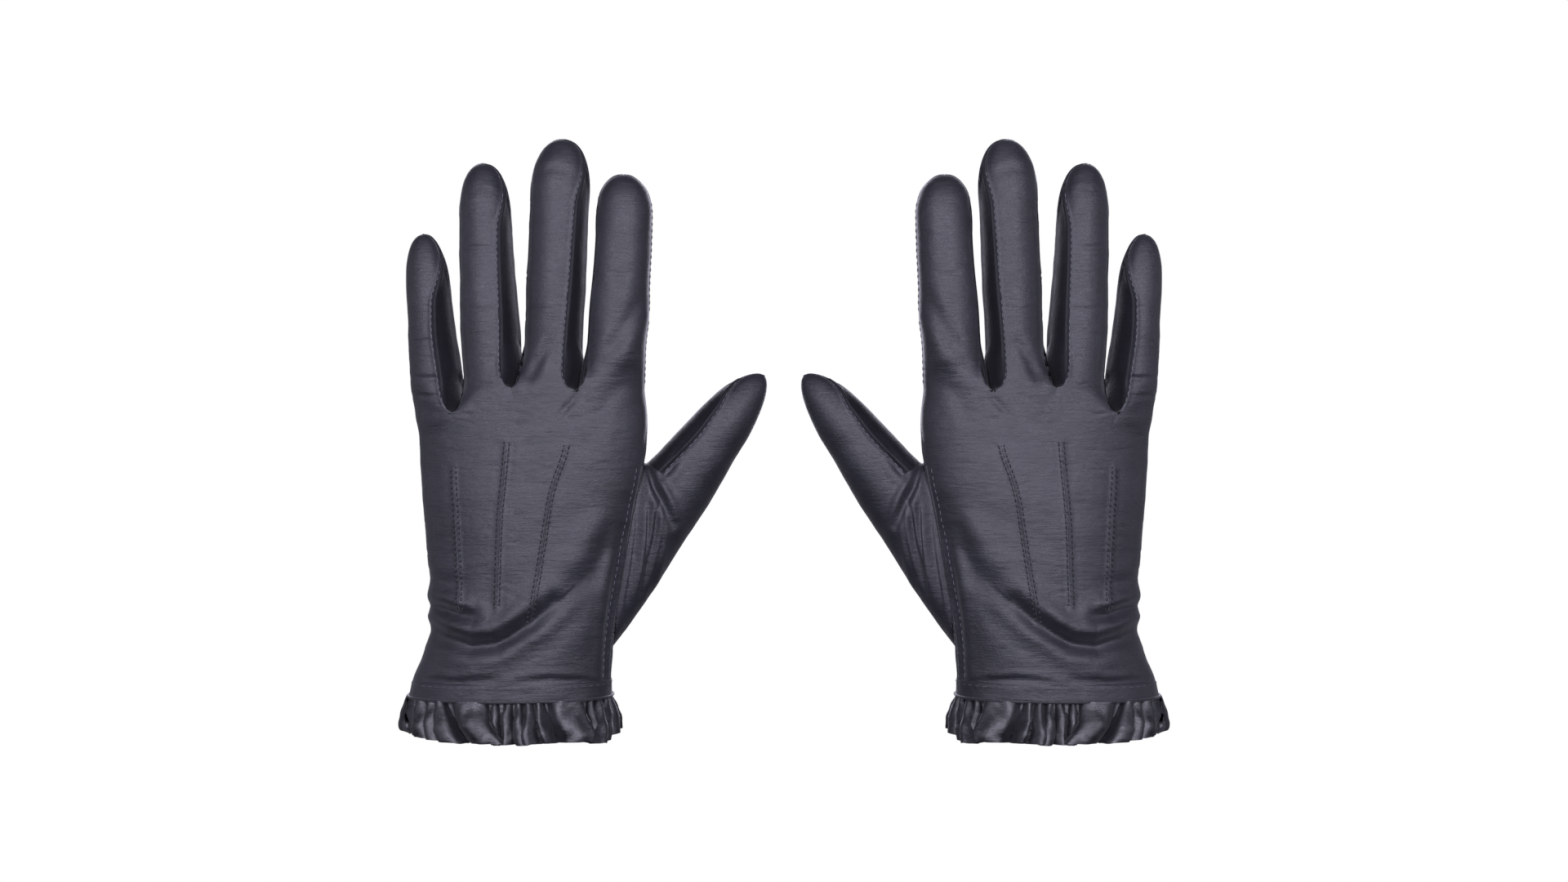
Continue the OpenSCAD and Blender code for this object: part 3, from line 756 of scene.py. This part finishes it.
def share_fold(one, other):
    """Gives two neighbouring grids of normals the same values along the fold where they meet."""
    both = unit(one[:, 0] + other[:, 0])
    one[:, 0], other[:, 0] = both, both


def rows_fade(height):
    """How much of a sewn lip each row has at its two sides, from the heights above the base line."""
    return smooth(height / 6)[:, [0, -1]].T[..., None]


def make_hand_and_fingers():
    hand, hand_normals, strips, strip_normals = {}, {}, {}, {}
    for face in (-1, 1):
        grid, out = hand_face(face)
        grid = grid + out * (hand_relief(grid, out) + sewn_lip(grid, at_start=0.0))[..., None]
        hand[face], hand_normals[face] = grid, normals_of(grid, out)
        for k in range(4):
            strip, strip_out = finger_face(k, face)
            fade = rows_fade(strip[..., 2] - strip[0, :, 2])
            lips = sewn_lip(strip, fade[0] if k > 0 else 0.0, fade[1] if k < 3 else 1.0)
            strip = kept_apart(k, strip + strip_out * (leather_relief(strip, strip_out) + lips)[..., None])
            columns = slice(k * (STRIP_STEPS - 1), (k + 1) * (STRIP_STEPS - 1) + 1)
            stacked = np.concatenate([grid[:, columns], strip[1:]])
            normals = normals_of(stacked, np.concatenate([out[:, columns], strip_out[1:]]))[HAND_ROWS - 1:]
            strips[k, face], strip_normals[k, face] = strip, normals
            hand_normals[face][-1, columns] = normals[0]
    share_fold(hand_normals[-1], hand_normals[1])
    share_fold(strip_normals[0, -1], strip_normals[0, 1])

    keep("back_panel", Piece().sheet(hand[-1], hand_normals[-1]), "leather", "hand")
    palm = Piece().sheet(hand[1], hand_normals[1], keep=~in_thumb_hole(hand[1]))
    keep("palm_panel", palm, "leather", "hand")

    for k, name in enumerate(FINGER_NAMES):
        for part, rows in halves(name):
            skin, thread = Piece(), Piece()
            for face in (-1, 1):
                skin.sheet(strips[k, face][rows], strip_normals[k, face][rows])
            seam = strips[k, -1][rows][2:-14 if part == "upper" else None, -4]
            thread.stitches(seam, strip_normals[k, -1][rows][2:, -4], pitch=2.4, radius=0.15, lift=0.05)
            keep(f"{name}_{part}_leather", skin, "leather", f"{name}_{part}")
            keep(f"{name}_{part}_stitches", thread, "thread", f"{name}_{part}", stands_in=False)
        gussets = {"lower": Piece(), "upper": Piece()}
        for side in ("little", "thumb"):
            if (side == "little" and k == 0) or (side == "thumb" and k == 3):
                continue
            grid, out = gusset_face(k, side)
            touching = WEB_RISE[k if side == "thumb" else k - 1]
            fade = rows_fade(grid[..., 2] - grid[0, :, 2] - touching)
            calm = smooth((grid[..., 2] - grid[0, :, 2]) / (touching + 8))
            relief = 0.3 * calm * leather_relief(grid, out, seed=9) + sewn_lip(grid, fade[0], fade[1])
            grid = kept_apart(k, grid + out * relief[..., None])
            normals = normals_of(grid, out)
            for part, rows in halves(name):
                gussets[part].sheet(grid[rows], normals[rows])
        # The gussets take the gusset finish, whose darker leather is painted shade
        for part, piece in gussets.items():
            keep(f"{name}_{part}_gussets", piece, "gusset", f"{name}_{part}")


def in_thumb_hole(grid):
    """Which cells of the palm panel lie inside the thumb hole, kept a little smaller than its seam."""
    x, y, z = (grid[:-1, :-1] + grid[1:, 1:]).transpose(2, 0, 1) / 2
    middle, half = middle_and_half(z)
    c = np.clip((x - middle) / half, 0, 1)
    turn = np.degrees(np.arccos(c ** (1 / OVAL_POWER))) * np.sign(y)
    inside = (np.abs((turn - HOLE_TURN[0]) / HOLE_TURN[1]) ** (2 / HOLE_POWER)
              + np.abs((z - HOLE_Z[0]) / HOLE_Z[1]) ** (2 / HOLE_POWER))
    return (inside < 0.8) & (x > 0)


def thumb_relief(grid, out):
    front = smooth((0.35 - out[..., 1]) / 0.6)
    return leather_relief(grid, out, seed=21) + front * fold_depth(grid[..., 0], grid[..., 2], ROOT_FOLDS)


def make_thumb():
    grid, out = thumb_root_grid()
    rise = smooth(np.linspace(0, 1, grid.shape[0]) / 0.12)[:, None]
    grid = grid + out * (mix(hand_relief(grid, out), thumb_relief(grid, out), rise) + 0.2)[..., None]
    keep("thumb_root", Piece().sheet(grid, normals_of(grid, out, wrap=True), wrap=True), "leather", "hand")
    # The thumb's gusset takes the gusset finish, whose darker leather is painted shade
    for kind, columns in (("leather", 96), ("gusset", 18)):
        grid, out = thumb_strip(kind, columns)
        lift = 0.2 * (1 - smooth(np.linspace(0, 1, grid.shape[0]) / 0.15))[:, None]
        grid = grid + out * (thumb_relief(grid, out) + sewn_lip(grid) + lift)[..., None]
        normals = normals_of(grid, out)
        word = "gussets" if kind == "gusset" else kind
        for part, rows in halves("thumb"):
            keep(f"thumb_{part}_{word}", Piece().sheet(grid[rows], normals[rows]), kind, f"thumb_{part}")
            if kind == "leather":
                seam = grid[rows][1:-12 if part == "upper" else None, 4]
                thread = Piece().stitches(seam, normals[rows][1:, 4], pitch=2.6, radius=0.17, lift=0.06)
                keep(f"thumb_{part}_stitches", thread, "thread", f"thumb_{part}", stands_in=False)


def make_trims():
    ridges, hole_shade, thread = Piece(), Piece(), Piece()
    for points in POINTS:
        x, z = line_at(points)
        taper = np.sin(np.pi * np.clip(np.linspace(0.04, 0.96, len(z)), 0, 1)) ** 0.35
        spine, out = back_at(x, z)
        beads = 0.78 + 0.22 * np.sin(np.pi * z)
        ridges.tube(on_leather(spine, out, -0.14), 0.6 * taper * beads, squash=0.5, out=out)
        for beside, first in ((-0.95, 0), (0.95, 2)):
            row, row_out = back_at(x + beside, z)
            row = on_leather(row, row_out, 0.0)
            ridges.stitches(row[first:], row_out[first:], pitch=2.0, length=0.45, radius=0.32, lift=0.10)
            after = slice(first + 3, None)
            # Small raised capsules in the darker gusset finish mark the needle holes beside each point:
            # painted shade
            hole_shade.stitches(row[after], row_out[after], pitch=2.0, length=0.1, radius=0.30, lift=0.12)
    keep("points", ridges, "leather", "hand")
    keep("point_hole_shade", hole_shade, "gusset", "hand", stands_in=False)

    z = np.arange(HEM_Z + 4, 103.5, 0.5)
    x, y = oval(SEAM_TURN, z)
    out = spread(0.8, -0.6, 0 * z)
    seam = Piece().tube(spread(x, y, z) + 0.15 * out, 0.62 + 0.05 * np.sin(z * 2.2), out=out)
    keep("side_seam", seam, "leather", "hand")
    row, row_out = back_at(x - 1.4, z)
    thread.stitches(on_leather(row, row_out, 0.05), row_out, pitch=2.6, length=0.6, radius=0.14)
    around, z = np.linspace(-179, 181, 260), HEM_Z + 5.0
    out = oval_out(around, 2)
    thread.stitches(spread(*oval(around, z), z) + 0.3 * out, out, pitch=3.0, length=0.62, radius=0.08)
    keep("stitching", thread, "thread", "hand")


# ---- hem and ruffle
# Where the ruffle's valleys lie on the back, as the camera sees them: x at the hem, x at the foot, width
RUFFLE_DIPS = [(-37.6, -39.0, 1.0), (-35.8, -36.4, 1.0), (-32.0, -31.0, 1.5), (-28.2, -25.6, 1.2),
               (-24.8, -17.4, 2.4), (-8.2, -7.4, 1.0), (-4.4, -3.2, 1.3), (0.6, 1.0, 0.9), (4.4, 6.4, 2.0),
               (7.8, 12.4, 2.3), (12.6, 16.2, 1.6), (27.4, 28.4, 2.0), (31.0, 32.0, 1.0), (34.0, 35.2, 1.6),
               (35.8, 38.2, 1.3), (37.0, 40.6, 1.0)]
FLARE = 4.4  # how far the foot of the ruffle stands out beyond the hem
VALLEY = 5.6  # depth of the valleys between the ruffle's lobes
RUFFLE_THICK = 0.6
RUFFLE_FLATNESS = 1.9  # how much wider than deep the ruffle's oval is
RUFFLE_RADIUS = 30  # rough radius of that oval


def ruffle_turn(seen_x, flare):
    """The turn on the back of an oval just below the hem at which the camera sees it at x."""
    turn = np.linspace(-180, 0, 721)
    x, y, z = (spread(*oval(turn, HEM_Z), HEM_Z) + flare * oval_out(turn, RUFFLE_FLATNESS)).T
    return np.interp(seen_x, seen(x, y, z)[0], turn)


def ruffle_grid(rows=24, columns=20):
    """The gathered ruffle: lobes of uneven width between sharp valleys, as a grid that closes sideways."""
    draw = np.random.default_rng(31)
    hem, foot, gaps = np.array(RUFFLE_DIPS).T
    back = np.stack([ruffle_turn(hem, 0.5), ruffle_turn(foot, FLARE)])
    palm = -back[:, ::-1] + draw.uniform(-3, 3, back.shape[1])
    dips = np.concatenate([back, palm], axis=1)
    count = dips.shape[1]
    wide = np.diff(np.concatenate([dips, dips[:, :1] + 360], axis=1))
    q, lobe = np.tile(np.arange(columns) / columns, count), np.repeat(np.arange(count), columns)
    drop = np.linspace(0, 1, rows)[:, None]
    turn = mix(*(dips[end, lobe] + wide[end, lobe] * q for end in (0, 1)), drop)
    out = oval_out(turn, RUFFLE_FLATNESS)
    side = np.cross(out, [0, 0, 1.0])
    _, sideways = cos_sin(dips[1] + wide[1] / 2)
    arc = np.radians(wide[1]) * RUFFLE_RADIUS * (0.45 + 0.55 * np.abs(sideways))
    deep = VALLEY * np.clip(arc / 4.0, 0.5, 1.1) * draw.uniform(0.8, 1.15, count)
    flat = np.clip(arc / 3.0, 1.6, 4.5)[lobe]
    open_out = smooth(drop * 0.9 + 0.1)
    gap = np.concatenate([gaps, gaps[::-1]])
    before, after = (np.clip(share / 2 / arc, 0.02, 0.22)[lobe] for share in (gap, np.roll(gap, -1)))
    inside = np.clip((q - before) / (1 - before - after), 0, 1)
    profile = (1 - np.abs(2 * inside - 1) ** flat) ** (1 / flat)
    tilt = draw.uniform(-0.5, 0.5, count)[lobe] * (2 * q - 1)
    swell = deep[lobe] * (profile * (1 + 0.5 * tilt)) * (0.40 + 0.60 * open_out)
    left, right = (np.clip(sign * np.cos(np.radians(turn[-1])), 0, 1) for sign in (-1, 1))
    offset = FLARE * 0.78 * open_out * (1 - 0.75 * left ** 2 - 0.3 * right ** 8) - 1.5 + 0.8 * drop
    offset = offset + swell - deep[lobe] * 0.45 * open_out + 0.5 * np.sin(np.pi * drop)
    lean = draw.uniform(-0.7, 0.7, count)[lobe]
    omega = 0.32 * np.sin(2 * np.pi * q)
    shift = deep[lobe] * (lean * profile + omega) * (0.15 + 0.85 * open_out)
    phase, sway = draw.uniform(0, 6.28, count)[lobe], draw.uniform(0.3, 1.1, count)[lobe]
    shift = shift + sway * open_out * np.sin(4.5 * drop + phase)
    grid = spread(*oval(turn, HEM_Z), 0) + out * offset[..., None] + side * shift[..., None]
    grid[..., 1] -= 8.0 * drop * np.exp(-((turn + 27) / 10) ** 2)
    level = np.where(arc > 5, 0.2, 0) + draw.uniform(0, 0.7, count)
    edge = FOOT + 0.05 + 2.4 * left ** 2 + 1.7 * right ** 24 + level[lobe] * profile
    grid[..., 2] = mix(HEM_Z + 0.3, edge, drop)
    return grid, out


def area_of(grid):
    """The area of a grid that closes sideways."""
    along, down = np.roll(grid, -1, 1) - grid, grid[1:] - grid[:-1]
    along, down = (along[:-1] + along[1:]) / 2, (down + np.roll(down, -1, 1)) / 2
    return np.linalg.norm(np.cross(along, down), axis=2).sum()


def make_hem_and_ruffle():
    turn = np.arange(0, 360, 1.8)
    heights = HEM_Z + np.array([-0.4, -0.1, 0.6, 1.6, 3.0, 4.4, 5.4, 6.0, 6.3])[:, None]
    lifts = np.array([-0.3, 0.2, 0.3, 0.25, 0.2, 0.2, 0.22, 0.1, -0.3])[:, None]
    grid, out = spread(*oval(turn, heights), heights), oval_out(turn + 0 * heights, 2)
    grid = grid + out * (lifts + rolling(*np.moveaxis(grid, 2, 0), 41, 9, 0.09))[..., None]
    band = Piece().sheet(grid, normals_of(grid, out, wrap=True), thickness=0.4, wrap=True)
    loop = np.append(turn, 361.0) + 90
    out = oval_out(loop, 2)
    band.tube(spread(*oval(loop, HEM_Z), HEM_Z + 0.2) + 0.7 * out, 0.5, out=out)
    keep("hem_binding", band, "leather", "hand")

    grid, out = ruffle_grid()
    normals = normals_of(grid, out, wrap=True)
    grid = grid + normals * rolling(*np.moveaxis(grid, 2, 0), 51, 6, 0.28)[..., None]
    normals = normals_of(grid, out, wrap=True)
    # The ruffle takes the ruffle finish, whose darker leather is painted shade
    keep("ruffle", Piece().sheet(grid, normals, thickness=RUFFLE_THICK, wrap=True), "ruffle", "hand")
    return (area_of(grid) + area_of(grid - RUFFLE_THICK * normals)) / 2 / 1e6


# ---- lining
LINING_INSET, LINING_THICK = 1.5, 0.6
ROOT_INSET = 4.0  # how much farther in a finger's lining starts,
ROOT_INSET_HEIGHT = 20.0  # and the height over which it returns to its own place
GUSSET_INSET = 1.1  # how much farther in a finger's lining lies than the hand's


def line_inside(grid, out, relief=leather_relief):
    """The lining's outer face: inside the leather, and drawn in with its folds."""
    return grid + out * (np.minimum(relief(grid, out), 0) - LINING_INSET)[..., None]


def make_lining():
    turn = np.arange(0, 360, 4.5)
    z = np.linspace(HEM_Z + 1.5, 113, 44)[:, None]
    out = oval_out(turn + 0 * z, 2.4)
    grid = line_inside(spread(*oval(turn, z), z), out)
    closed = np.concatenate([grid, grid[:, :1]], axis=1)
    hand = Piece().sheet(grid, out, thickness=LINING_THICK, wrap=True, keep=~in_thumb_hole(closed))
    grid, out = thumb_root_grid(columns=48, rows=14)
    grid = line_inside(grid, out, thumb_relief)[1:]
    hand.sheet(grid, normals_of(grid, out[1:], wrap=True), thickness=LINING_THICK, wrap=True)
    keep("lining", hand, "lining", "hand")
    around = np.arange(0, 360, 12.0)
    for name in FINGER_NAMES:
        low = LEAN[name][1] + 1.5
        z = np.minimum(finger_heights(name, low + 0 * around), FINGERS[name]["top"] - 2.6)
        grid, out = ring_at(name, around + 0 * z, z)
        farther = GUSSET_INSET + ROOT_INSET * (1 - smooth((z - low) / ROOT_INSET_HEIGHT))
        line_digit(name, line_inside(grid, out) - out * farther[..., None], out)
    s = thumb_rows()
    grid, out = thumb_ring(around + 0 * s, np.minimum(s, THUMB_LENGTH - 1.5) + 0 * around)
    line_digit("thumb", line_inside(grid, out, thumb_relief), out)


def line_digit(name, grid, out):
    """Keeps the lining of a digit's two parts, without the last two rows at the tip."""
    for part, rows in halves(name):
        tube = Piece().sheet(grid[:-2][rows], out[:-2][rows], thickness=LINING_THICK, wrap=True)
        keep(f"{name}_{part}_lining", tube, "lining", f"{name}_{part}", stands_in=False)


make_hand_and_fingers()
make_thumb()
make_trims()
ruffle_area = make_hem_and_ruffle()
make_lining()


# ---- materials
def set_inputs(tree, node, inputs):
    """Sets a node's inputs, given by name or number, to values or to the outputs of other nodes."""
    for key, value in inputs.items():
        if isinstance(value, bpy.types.NodeSocket):
            tree.links.new(value, node.inputs[key])
        else:
            node.inputs[key].default_value = value


def add(tree, kind, output, inputs=None, **settings):
    """An output of a new node with the given inputs and settings."""
    node = tree.nodes.new(f"ShaderNode{kind}")
    for key, value in settings.items():
        setattr(node, key, value)
    set_inputs(tree, node, inputs or {})
    return node.outputs[output]


def new_material(name):
    material = bpy.data.materials.new(name)
    material.use_nodes = True
    return material, material.node_tree


def blend_colours(tree, factor, low, high):
    """A colour that runs between two, each given with the factor at which it is reached."""
    ramp = tree.nodes.new("ShaderNodeValToRGB")
    for stop, (place, colour) in zip(ramp.color_ramp.elements, (low, high)):
        stop.position, stop.color = place, (*colour, 1)
    set_inputs(tree, ramp, {"Fac": factor})
    return ramp.outputs["Color"]


def bumpy(tree, *layers):
    """The normal after layers of bumps, each a height, a strength and a distance in metres."""
    before = {}
    for height, strength, distance in layers:
        inputs = {"Height": height, "Strength": strength, "Distance": distance, **before}
        before = {"Normal": add(tree, "Bump", "Normal", inputs)}
    return before["Normal"]


def leather_material(name, dark, light, roughness, shine=0.55, grain=0.26, sheen=0.25):
    """Fine nappa leather: small irregular cells with pores, soft worn highs and slow colour changes."""
    material, tree = new_material(name)
    place = add(tree, "TexCoord", "Object")

    def noise(scale, detail, rough, output="Fac", **more):
        inputs = {"Vector": place, "Scale": scale, "Detail": detail, "Roughness": rough, **more}
        return add(tree, "TexNoise", output, inputs)

    slow, pores, wear = noise(55.0, 3.0, 0.55), noise(2600.0, 2.0, 0.6), noise(190.0, 4.0, 0.6)
    level = add(tree, "VectorMath", "Vector", {0: place, 1: (1.0, 1.0, 7.0)}, operation="MULTIPLY")
    wrinkles = noise(150.0, 4.0, 0.65, Vector=level, Distortion=0.4)
    warp = {0: noise(600.0, 2.0, 0.5, output="Color"), 1: (0.0006,) * 3, 2: place}
    moved = add(tree, "VectorMath", "Vector", warp, operation="MULTIPLY_ADD")
    cells = {"Vector": moved, "Scale": 2400.0}
    cells = add(tree, "TexVoronoi", "Distance", cells, feature="DISTANCE_TO_EDGE")
    tone = add(tree, "Math", "Value", {0: wear, 1: 0.4, 2: slow}, operation="MULTIPLY_ADD")
    rough = {"Value": wear, "To Min": roughness - 0.06, "To Max": roughness + 0.1}
    edge = add(tree, "MapRange", "Result", {"Value": cells, "From Max": 0.12})
    fine = add(tree, "Math", "Value", {0: pores, 1: 0.5, 2: edge}, operation="MULTIPLY_ADD")
    set_inputs(tree, tree.nodes["Principled BSDF"], {
        "Base Color": blend_colours(tree, tone, (0.5, dark), (0.95, light)),
        "Roughness": add(tree, "MapRange", "Result", rough),
        "Specular IOR Level": shine, "Sheen Weight": sheen, "Sheen Roughness": 0.45,
        "Normal": bumpy(tree, (fine, grain, 0.00012), (wear, 0.35, 0.0006), (wrinkles, 0.4, 0.0004)),
    })
    return material


def cloth_material(name, bands, wave, low, high, roughness, sheen, bump):
    """Knit or twisted thread: fine waves that change the colour and lift the surface."""
    material, tree = new_material(name)
    wave = {"Vector": add(tree, "TexCoord", "Object"), **wave}
    height = add(tree, "TexWave", "Fac", wave, bands_direction=bands)
    set_inputs(tree, tree.nodes["Principled BSDF"], {
        "Base Color": blend_colours(tree, height, low, high), "Roughness": roughness,
        "Sheen Weight": sheen, "Normal": bumpy(tree, (height, *bump)),
    })
    return material


nappa = leather_material("nappa_leather", (0.0085, 0.0082, 0.0126), (0.0162, 0.0164, 0.0230), 0.40)
# The gussets get a darker, duller copy of the nappa: painted shade on the sides between the digits and in the
# needle holes of the points
nappa_gusset_painted_shade = leather_material(
    "nappa_gusset_painted_shade", (0.0040, 0.0036, 0.0060), (0.0080, 0.0074, 0.0115), 0.5, 0.28, sheen=0.1)
# The ruffle gets a darker copy of the nappa: painted shade that deepens its folds
nappa_ruffle_painted_shade = leather_material(
    "nappa_ruffle_painted_shade", (0.0045, 0.0044, 0.0070), (0.0090, 0.0088, 0.0128), 0.34, 0.8, sheen=0.12)
knit = cloth_material(
    "lining_knit", "X", {"Scale": 700.0, "Distortion": 1.5, "Detail": 1.0},
    (0.2, (0.006, 0.006, 0.008)), (0.9, (0.02, 0.02, 0.024)), 0.9, 0.3, (0.6, 0.0003))
twist = cloth_material(
    "thread_twist", "DIAGONAL", {"Scale": 1800.0, "Distortion": 0.5},
    (0.1, (0.09, 0.09, 0.11)), (0.9, (0.17, 0.17, 0.20)), 0.6, 0.0, (0.4, 0.0001))
# Each finish as its material and its slot; the gusset and ruffle finishes are darker copies of the nappa,
# painted shade
FINISHES = {
    "leather": (nappa, "leather"), "gusset": (nappa_gusset_painted_shade, "gusset_leather"),
    "ruffle": (nappa_ruffle_painted_shade, "ruffle_leather"), "lining": (knit, "lining"), "thread": (twist, "thread"),
}


for side in ("left", "right"):
    for name, (piece, finish, motion, stands_in) in pieces.items():
        material, slot_name = FINISHES[finish]
        skin = piece.make(name, side, material, slot_name)
        if motion == "hand":
            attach(skin, f"{side}_hand")
        else:
            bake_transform(skin)
        if stands_in:
            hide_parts(f"{side}_{name}")

# ---- light
world = bpy.data.worlds.new("studio")
bpy.context.scene.world = world
world.use_nodes = True
tree = world.node_tree
white = tree.nodes["Background"]
set_inputs(tree, white, {"Color": (1, 1, 1, 1), "Strength": 1.0})
dim = add(tree, "Background", "Background", {"Color": (0.88, 0.87, 1.0, 1), "Strength": 0.018})
to_camera = add(tree, "LightPath", "Is Camera Ray")
backdrop = add(tree, "MixShader", "Shader", {0: to_camera, 1: dim, 2: white.outputs["Background"]})
set_inputs(tree, tree.nodes["World Output"], {"Surface": backdrop})

# Softboxes on the +X side, each with a twin on the other: place, aim, size, power in watts, colour
COOL = (0.95, 0.93, 1.12)
LIGHTS = {
    "front_box": ((0.27, -1.0, 0.36), (0.05, 0, 0.10), (0.30, 0.50), 5.7, (0.95, 0.94, 1.13)),
    "fill": ((0.75, -0.75, 0.25), (0.05, 0, 0.11), (0.5, 0.6), 1.2, COOL),
    "top_box": ((0.2, -0.5, 0.9), (0.1, 0, 0.15), (0.5, 0.4), 0.7, COOL),
    "side_strip": ((0.9, -0.15, 0.2), (0.05, 0, 0.11), (0.2, 0.7), 0.7, COOL),
    "back_box": ((0.35, 1.1, 0.45), (0.05, 0, 0.10), (0.6, 0.9), 4.8, COOL),
}


def softbox(name, place, aim, size, power_w, colour):
    data = bpy.data.lights.new(name, "AREA")
    data.shape, data.size, data.size_y = "RECTANGLE", *size
    data.energy, data.color = power_w, colour
    light = bpy.data.objects.new(name, data)
    light.location = place
    light.rotation_euler = (Vector(aim) - Vector(place)).to_track_quat("-Z", "Y").to_euler()
    light.visible_camera = False
    bpy.context.scene.collection.objects.link(light)


for sign in (-1, 1):
    for name, (place, aim, *rest) in LIGHTS.items():
        softbox(f"{name}_{sign}", (sign * place[0], *place[1:]), (sign * aim[0], *aim[1:]), *rest)

bpy.context.scene.view_settings.view_transform = "Standard"
